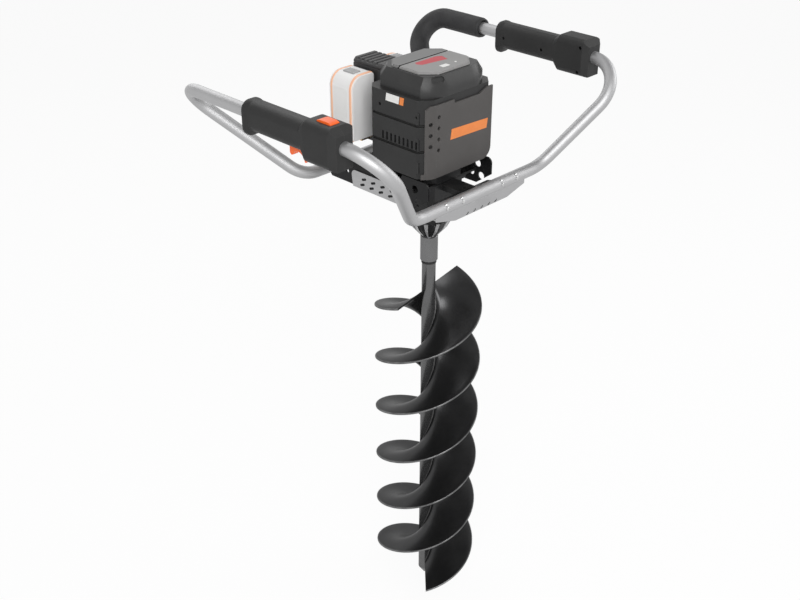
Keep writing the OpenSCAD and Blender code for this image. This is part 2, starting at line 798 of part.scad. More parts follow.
// Housing
module motor_housing() {
    groove_h = 5;
    groove_in = 4;
    floor_plate = 4;
    boss_h = 20;
    boss_front = 13;
    vent_step = 9.6;
    vent_w = 4.4;
    vent_y0 = 29;
    screw_r = 3;
    inner_cut = house_cut - house_wall * 0.4;
    color([0.13, 0.13, 0.13]) difference() {
        union() for (i = [0:tiers - 1]) {
            translate([0, 0, z_house + i * tier_h + (i == 0 ? 0 : groove_h)])
                linear_extrude(tier_h - (i == 0 ? 0 : groove_h))
                    cut_corners(house_hw, house_front, house_back, house_cut, 14);
            if (i > 0)
                translate([0, 0, z_house + i * tier_h - eps]) linear_extrude(groove_h + 2 * eps)
                    cut_corners(house_hw - groove_in, house_front - groove_in, house_back - groove_in,
                        house_cut, 14);
            // Screw bosses at the front corners
            for (s = [-1, 1])
                translate([s * (house_hw - 8) - 8, boss_front - house_front,
                    z_house + i * tier_h + (i == 0 ? 10 : groove_h)])
                    cube([16, house_cut, boss_h]);
        }
        translate([0, 0, z_house + floor_plate]) linear_extrude(house_h - 2 * floor_plate)
            cut_corners(house_hw - house_wall - groove_in, house_front - house_wall - groove_in,
                house_back - house_wall - groove_in, inner_cut, 14);
        translate([0, 0, z_house - 1]) cylinder(r = motor_r + 0.5, h = floor_plate + 2);
        translate([30, 30, z_deck - floor_plate - 1]) cylinder(r = 9, h = floor_plate + 2);
        // Vents of the middle tier
        for (s = [-1, 1], i = [0:vent_count - 1])
            translate([s * house_hw, vent_y0 - i * vent_step, z_house + tier_h + groove_h + 1 + vent_h / 2])
                cube([4 * (house_wall + groove_in), vent_w, vent_h], center = true);
        // Bend under the front guard
        translate([-guard_x, -house_front + guard_bend, z_house - 1])
            rotate(225) rotate_extrude(angle = 45, $fn = 96) translate([guard_bend, 0])
                square([12, house_h + 2]);
        for (s = [-1, 1]) {
            translate([s * house_hw, 36, z_house + 2 * tier_h + 20])
                rotate([0, 90, 0]) cylinder(r = screw_r, h = 8, center = true);
            translate([s * house_hw, -house_front + boss_front + 5, z_house + 2 * tier_h + 17])
                rotate([0, 90, 0]) cylinder(r = screw_r - 0.6, h = 12, center = true);
        }
    }
}

module housing_screws() {
    color("dimgray") for (s = [-1, 1])
        translate([s * (house_hw - 3), 36, z_house + 2 * tier_h + 20]) rotate([0, s * 90, 0]) difference() {
            translate([0, 0, -1]) cylinder(r = 2.9, h = 2.2);
            translate([0, 0, 0.4]) cylinder(d = 3, h = 2, $fn = 6);
        }
}

guard_bend = 24;
guard_gap = 0.2;
guard_x = house_hw - house_cut - guard_bend * tan(22.5);

module front_guard() {
    tall = 126;
    fin = 128;
    step_z = 120;
    reach = 77;
    corner_r = 20;
    leaf = 1;
    lip = 7;
    lip_h = 9;
    hole_r = 3.6;
    hole_step = 19;
    hole_low = 48;
    hole_set = 4.8;
    inner = guard_bend + guard_gap;
    color([0.3, 0.29, 0.28]) difference() {
        translate([-guard_x, -house_front + guard_bend, z_house]) {
            translate([0, -inner - guard_t, 0]) cube([guard_x + reach, guard_t, fin]);
            rotate(225 - bend_lap) rotate_extrude(angle = 45 + 2 * bend_lap, $fn = 96)
                translate([inner + bend_thin, bend_thin])
                    square([guard_t - 2 * bend_thin, fin - 2 * bend_thin]);
            rotate(-45) translate([-leaf, -inner - guard_t, 0]) cube([leaf, guard_t, fin]);
            rotate(-45) translate([-lip, -inner - guard_t, 0]) cube([lip, guard_t, lip_h]);
        }
        // Stepped top edge that rises to a fin on the right
        translate([-2 * house_hw, -house_front - 30, z_house + tall]) cube([2 * house_hw + 58, 60, 20]);
        translate([-18, -house_front - 30, z_house + step_z]) cube([61, 60, 20]);
        translate([43 - eps, -house_front - 30, z_house + step_z]) rotate([0, -22, 0]) cube([40, 60, 20]);
        // Round lower corner on the right, cut upper corner on the left
        translate([reach - corner_r, -house_front - 30, z_house - 1]) difference() {
            cube([corner_r + 1, 60, corner_r + 1]);
            translate([0, -1, corner_r + 1]) rotate([-90, 0, 0]) cylinder(r = corner_r, h = 62);
        }
        translate([-guard_x - guard_bend * sin(45) - 2, -house_front + 8, z_house + tall])
            rotate([0, 45, 0]) cube([10, 60, 10], center = true);
        for (i = [0:3])
            translate([hole_set - guard_x, -house_front, z_house + hole_low + i * hole_step])
                rotate([90, 0, 0]) cylinder(r = hole_r, h = 20, center = true);
        for (i = [0:2])
            translate([-guard_x, -house_front + guard_bend, z_house + hole_low + (i + 0.5) * hole_step])
                rotate(-26) translate([0, -guard_bend, 0]) rotate([90, 0, 0])
                    cylinder(r = hole_r, h = 20, center = true);
    }
}

// Plan of the cover: cut corners, then a wide arch across the front
cover_hw = 75;
cover_arch = 58;
cover_front = 67;
function arch_points(r,
    steps) = [for (i = [0:steps]) r * [-cos(45 + 45 * i / steps), -sin(45 + 45 * i / steps)]];
module cover_outline(inset) {
    hw = cover_hw - inset;
    cut = 0.414 * inset;
    corner_y = cover_front - cover_arch * (1 - sin(45)) - 4;
    centre = [cover_arch * cos(45) + 4 - cover_hw, cover_arch - cover_front];
    left = [for (p = arch_points(cover_arch - inset, 6)) p + centre];
    right = [for (i = [6:-1:0]) [-left[i][0], left[i][1]]];
    back = house_back - 1 - inset;
    back_cut = 22 - cut;
    polygon(concat([[-hw + back_cut, back], [-hw, back - back_cut], [-hw, cut - corner_y]], left, right,
        [[hw, cut - corner_y], [hw, back - back_cut], [hw - back_cut, back]]));
}

module top_cover() {
    wall_h = 17;
    slope_in = 10;
    wall = 3;
    color([0.15, 0.15, 0.15]) difference() {
        union() {
            translate([0, 0, z_deck]) linear_extrude(wall_h) cover_outline(0);
            hull() {
                translate([0, 0, z_deck + wall_h]) linear_extrude(eps) cover_outline(0);
                translate([0, 0, z_panel - eps]) linear_extrude(eps) cover_outline(slope_in);
            }
        }
        translate([0, 0, z_deck - 1]) linear_extrude(cover_h - wall) cover_outline(slope_in + wall);
        // Oval recess on the front left slope
        translate([-45.8, -57.6, z_panel - 5]) rotate([60, 0, -18]) translate([0, 0, -3.5])
            linear_extrude(30) slot_2d(24, 9);
    }
}

module panel_outline(inset) {
    cut_corners(cover_hw - 14 - inset, 51 - inset, house_back - 13 - inset, 24 - inset * 0.4,
        22 - inset * 0.4);
}

module top_panel() {
    groove_y = 17;
    groove_w = 3;
    color([0.45, 0.45, 0.45]) translate([0, 0, z_panel]) difference() {
        union() {
            linear_extrude(panel_t - 1.5) panel_outline(0);
            translate([0, 0, panel_t - 1.5]) linear_extrude(1.5) panel_outline(2);
        }
        translate([-60, groove_y - groove_w / 2, panel_t - 2]) cube([120, groove_w, 3]);
        translate([0, 0, panel_t - 1.2]) linear_extrude(2) strip_2d();
    }
}

module strip_2d() {
    polygon([[-30, 10], [20, 10], [29, 4], [24, -14], [-30, -6], [-34, 2]]);
}

module panel_strip() {
    color([0.75, 0.1, 0.12]) translate([0, 0, z_panel + panel_t - 1.2]) linear_extrude(1) strip_2d();
}

module controller_board() {
    post_h = 8;
    color("seagreen") {
        translate([-44, -34, z_deck + post_h]) cube([88, 66, 2]);
        for (x = [-38, 38], y = [-28, 26]) translate([x, y, z_deck]) cylinder(r = 4, h = post_h + eps);
        for (x = [-26:13:26]) translate([x - 4, -26, z_deck + post_h + 2 - eps]) cube([8, 12, 5]);
        for (x = [-24, 0, 24]) translate([x, 14, z_deck + post_h + 2 - eps]) cylinder(r = 7, h = 10);
    }
}

// Battery tower and packs
module battery_tower() {
    foot_y = 92;
    color([0.09, 0.09, 0.09]) {
        translate([-tower_hw, house_back, z_tower]) cube([2 * tower_hw, tower_back - house_back, tower_h]);
        translate([-tower_hw, house_back, z_adapter])
            cube([2 * tower_hw, foot_y - house_back, z_tower - z_adapter]);
        both_sides() {
            translate([tower_hw - eps, pack_mid - rail_neck_hw, z_pack])
                cube([4 + rail_lip + rail_head_t / 2, 2 * rail_neck_hw, rail_top]);
            translate([pack_in + rail_lip + slide_gap, pack_mid - rail_head_hw, z_pack])
                cube([rail_head_t - slide_gap, 2 * rail_head_hw, rail_top]);
        }
    }
}

module tower_cap() {
    cap_h = 9;
    ribs = 5;
    color([0.07, 0.07, 0.07]) translate([0, 0, z_tower + tower_h]) difference() {
        translate([-tower_hw, house_back + 20, 0]) cube([2 * tower_hw, tower_back - house_back - 20, cap_h]);
        for (i = [0:ribs - 1])
            translate([-tower_hw - 1, tower_back - 12 - i * 11, cap_h - 3]) cube([2 * tower_hw + 2, 4, 4]);
        for (s = [-1, 1])
            translate([s * tower_hw, house_back, cap_h]) rotate([0, 45, 0]) cube([7, 400, 7], center = true);
    }
}

terminal_x = pack_in + rail_lip + rail_head_t + 8;
module battery_terminals() {
    color("goldenrod") both_sides() {
        translate([pack_in - 4 - eps, pack_mid - 18, z_pack - 8]) cube([terminal_x + 10 - pack_in, 36, 5]);
        for (y = [-12, 0, 12])
            translate([terminal_x - 4, pack_mid + y - 0.6, z_pack - 3 - eps]) cube([8, 1.2, 18]);
    }
}

module pack_side_2d(grow) {
    big = 24;
    small = 5;
    polygon([[pack_in - grow, -grow], [pack_out - small, -grow], [pack_out + grow, small],
        [pack_out + grow, pack_h - big],
        [pack_out - big, pack_h + grow], [pack_in + small, pack_h + grow], [pack_in - grow, pack_h - small]]);
    translate([pack_out - big, pack_h - big]) circle(r = big + grow);
    translate([pack_out - small, small]) circle(r = small + grow);
    translate([pack_in + small, pack_h - small]) circle(r = small + grow);
}

module pack_slice(y0, y1, grow) {
    translate([0, y1, z_pack]) rotate([90, 0, 0]) linear_extrude(y1 - y0) pack_side_2d(grow);
}

band_w = 4;
band_set = 4;
module pack_case() {
    slot_top = rail_top + 0.3;
    foot = 2;
    color([0.83, 0.83, 0.84]) difference() {
        union() {
            pack_slice(pack_front, pack_front + band_set, -1);
            pack_slice(pack_front + band_set + band_w, pack_front + pack_w - band_set - band_w, 0);
            pack_slice(pack_front + pack_w - band_set, pack_front + pack_w, -1);
        }
        pack_cuts(slot_top);
        translate([pack_in + 16, pack_mid - 13, z_pack + pack_h - 7]) cube([18, 26, 8]);
    }
    color([0.95, 0.72, 0.58]) difference() {
        for (y = [pack_front + band_set, pack_front + pack_w - band_set - band_w])
            pack_slice(y, y + band_w, 0.5);
        pack_cuts(slot_top);
    }
}

module pack_cuts(slot_top) {
    translate([pack_in - 2, pack_mid - rail_neck_hw - slide_gap, z_pack - 2])
        cube([rail_lip + 3, 2 * (rail_neck_hw + slide_gap), slot_top + 2]);
    translate([pack_in + rail_lip, pack_mid - rail_head_hw - slide_gap, z_pack - 2])
        cube([rail_head_t + slide_gap, 2 * (rail_head_hw + slide_gap), slot_top + 2]);
    translate([terminal_x - 5, pack_mid - 14, z_pack - 2]) cube([10, 28, 22]);
    translate([pack_in - 2, pack_mid - 18.5, z_pack - 2]) cube([terminal_x + 8 - pack_in, 37, 3]);
}

module pack_latch() {
    color([0.3, 0.3, 0.3])
        translate([pack_in + 16 + slide_gap, pack_mid - 13 + slide_gap, z_pack + pack_h - 4]) difference() {
        cube([18 - 2 * slide_gap, 26 - 2 * slide_gap, 6]);
        for (i = [0:3]) translate([-1, 5 + i * 5, 5.2]) cube([20, 2, 2]);
    }
}

module right_battery() { pack_case(); }
module left_battery() { mirror([1, 0, 0]) pack_case(); }
module right_latch() { pack_latch(); }
module left_latch() { mirror([1, 0, 0]) pack_latch(); }

// Handles: local x points outward, y along the tube, z up from the tube's axis
module across_y(y0, y1) {
    translate([0, y1, 0]) rotate([90, 0, 0]) linear_extrude(y1 - y0) children();
}

module grip_section() { translate([0, -grip_low]) round_rect(grip_w, grip_h, 15, $fn = 32); }
module lip_section() { translate([0, -grip_low - 4]) round_rect(grip_w + 4, grip_h + 10, 16, $fn = 32); }
module box_section() { translate([0, -box_low]) round_rect(box_w, box_h, 12, $fn = 32); }

module handle_form() {
    lip_y = grip_back_y - lip_l;
    across_y(grip_front_y, lip_y) grip_section();
    hull() {
        across_y(lip_y, lip_y + eps) grip_section();
        across_y(grip_back_y - 5, grip_back_y - 4) lip_section();
    }
    across_y(grip_back_y - 4, grip_back_y) lip_section();
    hull() {
        across_y(box_back, box_back + eps) box_section();
        across_y(grip_front_y - eps, grip_front_y) grip_section();
    }
    across_y(box_front, box_back) box_section();
}

// Screws of the half shells: place along the handle, height, length past the head
box_screw_l = 33.5;
grip_screw_l = 14;
screw_places = [[grip_back_y - 18, -2, grip_screw_l], [grip_front_y + 25, -5, grip_screw_l],
    [box_front + 14, box_h / 2 - box_low - 13, box_screw_l], [box_front + 17, 8 - box_h / 2 - box_low,
        box_screw_l]];

module handle(switch) {
    difference() {
        handle_form();
        across_y(box_front - 1, grip_back_y + 1) circle(r = tube_r + fit);
        // Slanted upper front edge and cut front corners of the box
        translate([0, box_front, box_h / 2 - box_low]) rotate([45, 0, 0])
            cube([2 * box_w, 16, 16], center = true);
        for (s = [-1, 1])
            translate([s * box_w / 2, box_front, 0]) rotate(45) cube([13, 13, 2 * box_h], center = true);
        for (p = screw_places)
            translate([-box_w, p[0], p[1]]) rotate([0, 90, 0]) cylinder(r = 1.6, h = box_w + p[2] / 2);
        for (p = screw_places)
            translate([-box_w, p[0], p[1]]) rotate([0, 90, 0]) cylinder(r = 3.2, h = box_w - head_depth(p));
        if (switch) switch_cuts();
    }
}

function head_depth(p) = (p[0] < -20 ? box_w : grip_w) / 2 - 4;

module switch_cuts() {
    translate([-trigger_w / 2 - 1, -21, -60]) cube([trigger_w + 2, 47, 52]);
    translate([-trigger_w / 2 - 1, -40, -31]) cube([trigger_w + 2, 20, 23]);
    translate([-12, -76, -31]) cube([24, 34, 21]);
    translate([0, pivot[0], pivot[1]]) rotate([0, 90, 0]) cylinder(r = pivot_r + fit, h = 28, center = true);
    translate([-button_w / 2 - slide_gap, button_y - button_l / 2 - slide_gap, tube_r + 1])
        cube([button_w + 2 * slide_gap, button_l + 2 * slide_gap, 40]);
}

module half(outer) {
    intersection() {
        children();
        translate([outer ? 0 : -200, -300, -200]) cube([200, 600, 400]);
    }
}

module at_right() { translate([grip_x, -hand_shift, grip_z]) children(); }
module at_left() { mirror([1, 0, 0]) at_right() children(); }
module right_grip_outer() { color([0.16, 0.16, 0.16]) at_right() half(true) handle(false); }
module right_grip_inner() { color([0.16, 0.16, 0.16]) at_right() half(false) handle(false); }
module left_grip_outer() { color([0.16, 0.16, 0.16]) at_left() half(true) handle(true); }
module left_grip_inner() { color([0.16, 0.16, 0.16]) at_left() half(false) handle(true); }

module grip_screws() {
    color("dimgray") both_sides() at_right() for (p = screw_places)
        translate([-head_depth(p) - 2.2, p[0], p[1]]) rotate([0, 90, 0]) {
            difference() {
                cylinder(r = 3, h = 2.2);
                translate([0, 0, -1]) cylinder(d = 3, h = 2.2, $fn = 6);
            }
            if (p[2] > 20) translate([0, 0, 2.2 - eps]) cylinder(r = 1.5, h = p[2]);
        }
}

module switch_block() {
    color([0.12, 0.12, 0.14]) at_left() difference() {
        translate([-11.5, -75.5, -30.5]) cube([23, 33, 18]);
        translate([-5, -44, -29]) cube([10, 4, 10]);
    }
}

module trigger_pin() {
    color("silver") at_left() translate([0, pivot[0], pivot[1]])
        rotate([0, 90, 0]) cylinder(r = pivot_r, h = 26, center = true);
}

module trigger() {
    boss_r = 6;
    finger_r = 15;
    finger_y = 1;
    color([0.95, 0.35, 0.08]) at_left() translate([-trigger_w / 2, 0, 0]) rotate([90, 0, 90]) difference() {
        union() {
            translate(pivot) cylinder(r = boss_r, h = trigger_w);
            linear_extrude(trigger_w)
                polygon([[pivot[0] + 2, pivot[1] + boss_r - 1], [18, -21], [20, -23], [20, -37],
                [17, -40], [-4, -40], [-11, -43], [-16, -44.5], [-19, -41], [-19, -30], [pivot[0] + 2,
                    pivot[1] - boss_r + 1]]);
        }
        translate([finger_y, -31 - finger_r, -1]) cylinder(r = finger_r, h = trigger_w + 2);
        translate([pivot[0], pivot[1], -1]) cylinder(r = pivot_r + fit, h = trigger_w + 2);
    }
}

module lock_button() {
    top = box_h / 2 - box_low;
    color([0.95, 0.35, 0.08]) at_left() difference() {
        translate([-button_w / 2, button_y - button_l / 2, top - 10])
            cube([button_w, button_l, 10 + button_top]);
        translate([0, button_y - button_l / 2, top + button_top]) rotate([20, 0, 0])
            cube([2 * button_w, 12, 4], center = true);
        translate([0, button_y + button_l / 2, top + button_top]) rotate([-20, 0, 0])
            cube([2 * button_w, 12, 4], center = true);
    }
}

module foam_pad() {
    foam_from = [grip_x, 148, grip_z];
    foam_leg = 120;
    leg_dir = unit([rear_hx, beam_back, beam_z] - right_back);
    bend_cut = tangent_len([0, 1, 0], leg_dir, bend_back);
    color([0.1, 0.1, 0.1])
        bent_pipe([foam_from, right_back, right_back + leg_dir * (bend_cut + foam_leg)], [bend_back],
            foam_d / 2, tube_r + 0.3);
}

front_tube();
rear_tube();
tube_joiners();
front_plate();
chassis_floor();
left_rail();
right_rail();
left_side_plate();
right_side_plate();
frame_rivets();
gear_nose();
gear_case();
gear_mid_plate();
gear_cover();
motor_adapter();
motor_frame();
stator_core();
stator_coils();
motor_housing();
front_guard();
top_cover();
top_panel();
panel_strip();
controller_board();
housing_screws();
battery_tower();
tower_cap();
battery_terminals();
left_grip_outer();
left_grip_inner();
right_grip_outer();
right_grip_inner();
grip_screws();
switch_block();
trigger_pin();
foam_pad();
spindle_bearings();
counter_bearings();
motor_bearings();
spindle_seal();
output_spindle();
output_gear();
bit_socket();
socket_ring();
bit_stem();
pilot_point();
flight_one();
flight_two();
bit_screw();
motor_shaft();
rotor_core();
cooling_fan();
countershaft();
first_gear();
trigger();
lock_button();
left_battery();
left_latch();
right_battery();
right_latch();
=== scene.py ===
"""Looks of a two-hand battery earth auger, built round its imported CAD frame.

Lengths are metres in the frame of the CAD: +Z runs up the spin axis, the pilot tip is the
origin and the front guard faces -Y.
"""

from __future__ import annotations

import json
import logging
import math
from dataclasses import dataclass, field
from enum import Enum
from typing import Sequence

import bmesh
import bpy
from mathutils import Matrix, Vector

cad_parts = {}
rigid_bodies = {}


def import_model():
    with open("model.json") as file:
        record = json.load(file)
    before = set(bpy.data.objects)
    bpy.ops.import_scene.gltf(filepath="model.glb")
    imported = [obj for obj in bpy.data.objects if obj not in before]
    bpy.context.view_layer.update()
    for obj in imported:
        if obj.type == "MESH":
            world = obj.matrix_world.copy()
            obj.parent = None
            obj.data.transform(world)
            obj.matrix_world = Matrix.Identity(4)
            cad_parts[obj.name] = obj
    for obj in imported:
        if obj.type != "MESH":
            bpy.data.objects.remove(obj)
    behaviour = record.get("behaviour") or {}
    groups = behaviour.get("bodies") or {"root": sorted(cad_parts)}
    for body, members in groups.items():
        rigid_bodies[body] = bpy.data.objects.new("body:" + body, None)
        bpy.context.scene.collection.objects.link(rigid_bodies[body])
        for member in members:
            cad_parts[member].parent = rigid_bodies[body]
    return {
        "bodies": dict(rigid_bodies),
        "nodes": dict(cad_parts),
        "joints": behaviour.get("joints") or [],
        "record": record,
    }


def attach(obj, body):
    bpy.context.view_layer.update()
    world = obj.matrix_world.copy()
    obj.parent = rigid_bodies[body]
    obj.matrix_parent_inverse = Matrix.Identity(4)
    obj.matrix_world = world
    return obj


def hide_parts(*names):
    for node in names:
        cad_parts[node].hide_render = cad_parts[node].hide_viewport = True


LOG = logging.getLogger("earth_auger")

Socket = bpy.types.NodeSocket
Color = tuple[float, float, float]
Point = tuple[float, float, float]
Outline = Sequence[tuple[float, float]]
CrossFrame = tuple[Vector, Vector, Vector]

# Colour sockets of the Mix node, counted because sockets of its other kinds share their names
MIX_FIRST = 6
MIX_SECOND = 7
MIX_RESULT = 2


class Body(str, Enum):
    """Names of the CAD bodies that pieces ride on."""

    HEAD = "head"
    BIT = "bit"
    LEFT_PACK = "left_pack"
    RIGHT_PACK = "right_pack"


class Side(Enum):
    """The two sides of the machine and the sign of X there."""

    LEFT = -1.0
    RIGHT = 1.0


class Kind(str, Enum):
    """Kinds of sockets of the shared node groups."""

    VECTOR = "NodeSocketVector"
    COLOR = "NodeSocketColor"
    FLOAT = "NodeSocketFloat"


def grey(level: float) -> Color:
    """Gives a neutral colour of one level."""
    return (level, level, level)


def opaque(value: object) -> object:
    """Gives a plain colour its full alpha, and leaves a socket as it is."""
    return (*value, 1.0) if isinstance(value, tuple) else value


@dataclass(frozen=True)
class Drift:
    """A noise and the stretch of its values that runs from nothing to full."""

    detail: float
    rough: float
    low: float
    high: float
    scale: float = 1.0


class Graph:
    """Adds and links nodes in one node tree."""

    def __init__(self, tree: bpy.types.NodeTree) -> None:
        """Keeps the tree.

        Args:
            tree: the node tree of a material, a world or a group.
        """
        self.tree = tree

    def add(self, kind: str, values: dict[str, object] | None = None, **settings: object) -> bpy.types.Node:
        """Adds one node.

        Args:
            kind: the node's type name.
            values: input sockets to set or to link, by name.
            settings: attributes of the node.

        Returns:
            The new node.
        """
        node = self.tree.nodes.new(kind)
        for key, value in settings.items():
            setattr(node, key, value)
        for key, value in (values or {}).items():
            self.feed(node.inputs[key], value)
        return node

    def feed(self, socket: Socket, value: object) -> None:
        """Links a socket to another one, or sets its plain value.

        Args:
            socket: the input socket.
            value: the output socket to link, or the value to set.
        """
        if isinstance(value, bpy.types.NodeSocket):
            self.tree.links.new(value, socket)
        else:
            socket.default_value = value

    def math(self, operation: str, first: object, second: object = 0.0, clamp: bool = False) -> Socket:
        """Adds a Math node.

        Args:
            operation: the node's operation.
            first: the first value or socket.
            second: the second value or socket.
            clamp: keep the result between 0 and 1.

        Returns:
            The result.
        """
        node = self.tree.nodes.new("ShaderNodeMath")
        node.operation = operation
        node.use_clamp = clamp
        self.feed(node.inputs[0], first)
        self.feed(node.inputs[1], second)
        return node.outputs[0]

    def mix(self, share: object, first: object, second: object) -> Socket:
        """Mixes two colours.

        Args:
            share: how much of the second colour shows.
            first: the first colour or socket.
            second: the second colour or socket.

        Returns:
            The mixed colour.
        """
        node = self.tree.nodes.new("ShaderNodeMix")
        node.data_type = "RGBA"
        self.feed(node.inputs[0], share)
        self.feed(node.inputs[MIX_FIRST], opaque(first))
        self.feed(node.inputs[MIX_SECOND], opaque(second))
        return node.outputs[MIX_RESULT]

    def span(self, value: object, low: float, high: float, start: float = 0.0, end: float = 1.0) -> Socket:
        """Maps a value smoothly from one range to another.

        Args:
            value: the value or socket.
            low: the value that gives start.
            high: the value that gives end.
            start: the result at low.
            end: the result at high.

        Returns:
            The mapped value.
        """
        node = self.add("ShaderNodeMapRange", interpolation_type="SMOOTHSTEP")
        self.feed(node.inputs["Value"], value)
        for name, number in (("From Min", low), ("From Max", high), ("To Min", start), ("To Max", end)):
            node.inputs[name].default_value = number
        return node.outputs["Result"]

    def noise(self, vector: object, scale: object, detail: float, rough: float) -> Socket:
        """Adds a noise texture.

        Args:
            vector: the place to read.
            scale: the noise's scale.
            detail: octaves of detail.
            rough: share of the fine octaves.

        Returns:
            The noise value.
        """
        node = self.add("ShaderNodeTexNoise", {"Detail": detail, "Roughness": rough})
        self.feed(node.inputs["Vector"], vector)
        self.feed(node.inputs["Scale"], scale)
        return node.outputs["Fac"]

    def drift(self, vector: object, look: Drift, scale: object = None, start: float = 0.0) -> Socket:
        """Turns a noise into a soft mask.

        Args:
            vector: the place to read.
            look: the noise and the stretch of it that counts.
            scale: the noise's scale, where the look's own isn't used.
            start: the mask's lowest value.

        Returns:
            The mask, up to 1.
        """
        size = look.scale if scale is None else scale
        return self.span(self.noise(vector, size, look.detail, look.rough), look.low, look.high, start)


class Effects:
    """Shader node groups that several finishes share, each built once."""

    GRAIN = Drift(2.0, 0.55, 0.3, 0.8)
    FINE_SHARE = 0.6
    PEBBLE_SHARE = 0.4
    MOTTLE = Drift(5.0, 0.6, 0.35, 0.68)
    # Bend and noise of the edge-mark mask, which paints scuffs and also painted highlights along edges.
    WEAR_AND_HIGHLIGHT_BEND = (0.02, 0.22)
    EDGE_BREAKUP = Drift(4.0, 0.65, 0.34, 0.6, 160.0)
    WEAR_AND_HIGHLIGHT_SAMPLES = 4
    DUST_SLOPE = (0.1, 0.95)
    DUST_CLOUD = Drift(6.0, 0.62, 0.36, 0.72, 38.0)
    LINES = Drift(3.0, 0.6, 0.3, 0.7)

    def __init__(self) -> None:
        """Builds every group."""
        self.grain = self._grain()
        self.mottle = self._mottle()
        self.edge_wear_and_highlight = self._edge_wear_and_highlight()
        self.dust = self._dust()
        self.scratches = self._scratches()

    @staticmethod
    def _shell(
        name: str, inputs: Sequence[tuple[str, Kind, object]], outputs: Sequence[tuple[str, Kind]],
    ) -> tuple[Graph, bpy.types.Node, bpy.types.Node]:
        """Makes an empty group with named sockets.

        Args:
            name: the group's name.
            inputs: name, kind and default of each input.
            outputs: name and kind of each output.

        Returns:
            The group's graph, its input node and its output node.
        """
        tree = bpy.data.node_groups.new(name, "ShaderNodeTree")
        for title, kind, default in inputs:
            socket = tree.interface.new_socket(name=title, in_out="INPUT", socket_type=kind.value)
            if default is not None:
                socket.default_value = default
        for title, kind in outputs:
            tree.interface.new_socket(name=title, in_out="OUTPUT", socket_type=kind.value)
        graph = Graph(tree)
        return graph, graph.add("NodeGroupInput"), graph.add("NodeGroupOutput")

    def _grain(self) -> bpy.types.NodeTree:
        """Fine pebbled grain of mouldings and coats.

        Returns:
            The group, with outputs Height and Shade.
        """
        g, inp, out = self._shell(
            "Grain",
            [("Vector", Kind.VECTOR, None), ("Scale", Kind.FLOAT, 900.0)],
            [("Height", Kind.FLOAT), ("Shade", Kind.FLOAT)],
        )
        where, scale = inp.outputs["Vector"], inp.outputs["Scale"]
        fine = g.noise(where, scale, self.GRAIN.detail, self.GRAIN.rough)
        cells = g.add("ShaderNodeTexVoronoi", {"Vector": where, "Scale": scale})
        pebble = g.math("SUBTRACT", 1.0, cells.outputs["Distance"])
        fine_part = g.math("MULTIPLY", fine, self.FINE_SHARE)
        height = g.math("ADD", fine_part, g.math("MULTIPLY", pebble, self.PEBBLE_SHARE))
        g.feed(out.inputs["Height"], height)
        g.feed(out.inputs["Shade"], g.span(height, self.GRAIN.low, self.GRAIN.high))
        return g.tree

    def _mottle(self) -> bpy.types.NodeTree:
        """Soft, wide drift of a colour from place to place.

        Returns:
            The group, with outputs Color and Mask.
        """
        g, inp, out = self._shell(
            "Mottle",
            [("Vector", Kind.VECTOR, None), ("Color", Kind.COLOR, None),
             ("Other", Kind.COLOR, None), ("Scale", Kind.FLOAT, 14.0),
             ("Amount", Kind.FLOAT, 0.5)],
            [("Color", Kind.COLOR), ("Mask", Kind.FLOAT)],
        )
        drift = g.drift(inp.outputs["Vector"], self.MOTTLE, inp.outputs["Scale"])
        share = g.math("MULTIPLY", drift, inp.outputs["Amount"])
        g.feed(out.inputs["Color"], g.mix(share, inp.outputs["Color"], inp.outputs["Other"]))
        g.feed(out.inputs["Mask"], drift)
        return g.tree

    def _edge_wear_and_highlight(self) -> bpy.types.NodeTree:
        """Scuffed edges, which also paint highlights along convex and concave edges, broken up by noise.

        Returns:
            The group, with outputs Color and Mask.
        """
        g, inp, out = self._shell(
            "EdgeWearAndHighlight",
            [("Vector", Kind.VECTOR, None), ("Color", Kind.COLOR, None),
             ("Worn", Kind.COLOR, None), ("Radius", Kind.FLOAT, 0.0015),
             ("Amount", Kind.FLOAT, 0.5)],
            [("Color", Kind.COLOR), ("Mask", Kind.FLOAT)],
        )
        round_edge = g.add("ShaderNodeBevel", {"Radius": inp.outputs["Radius"]}, samples=self.WEAR_AND_HIGHLIGHT_SAMPLES)
        surface = g.add("ShaderNodeNewGeometry")
        dot = g.add("ShaderNodeVectorMath", operation="DOT_PRODUCT")
        g.feed(dot.inputs[0], round_edge.outputs["Normal"])
        g.feed(dot.inputs[1], surface.outputs["Normal"])
        bend = g.span(g.math("SUBTRACT", 1.0, dot.outputs["Value"]), *self.WEAR_AND_HIGHLIGHT_BEND)
        breakup = g.drift(inp.outputs["Vector"], self.EDGE_BREAKUP)
        # The mask marks convex and concave edges alike: partly scuffs, partly painted highlights.
        mask = g.math("MULTIPLY", g.math("MULTIPLY", bend, breakup), inp.outputs["Amount"], clamp=True)
        g.feed(out.inputs["Color"], g.mix(mask, inp.outputs["Color"], inp.outputs["Worn"]))
        g.feed(out.inputs["Mask"], mask)
        return g.tree

    def _dust(self) -> bpy.types.NodeTree:
        """Thin dust on faces that look up.

        Returns:
            The group, with outputs Color and Mask.
        """
        g, inp, out = self._shell(
            "Dust",
            [("Vector", Kind.VECTOR, None), ("Color", Kind.COLOR, None),
             ("Dust", Kind.COLOR, None), ("Amount", Kind.FLOAT, 0.2)],
            [("Color", Kind.COLOR), ("Mask", Kind.FLOAT)],
        )
        surface = g.add("ShaderNodeNewGeometry")
        parts = g.add("ShaderNodeSeparateXYZ", {"Vector": surface.outputs["Normal"]})
        up = g.span(parts.outputs["Z"], *self.DUST_SLOPE)
        cloud = g.drift(inp.outputs["Vector"], self.DUST_CLOUD)
        mask = g.math("MULTIPLY", g.math("MULTIPLY", up, cloud), inp.outputs["Amount"], clamp=True)
        g.feed(out.inputs["Color"], g.mix(mask, inp.outputs["Color"], inp.outputs["Dust"]))
        g.feed(out.inputs["Mask"], mask)
        return g.tree

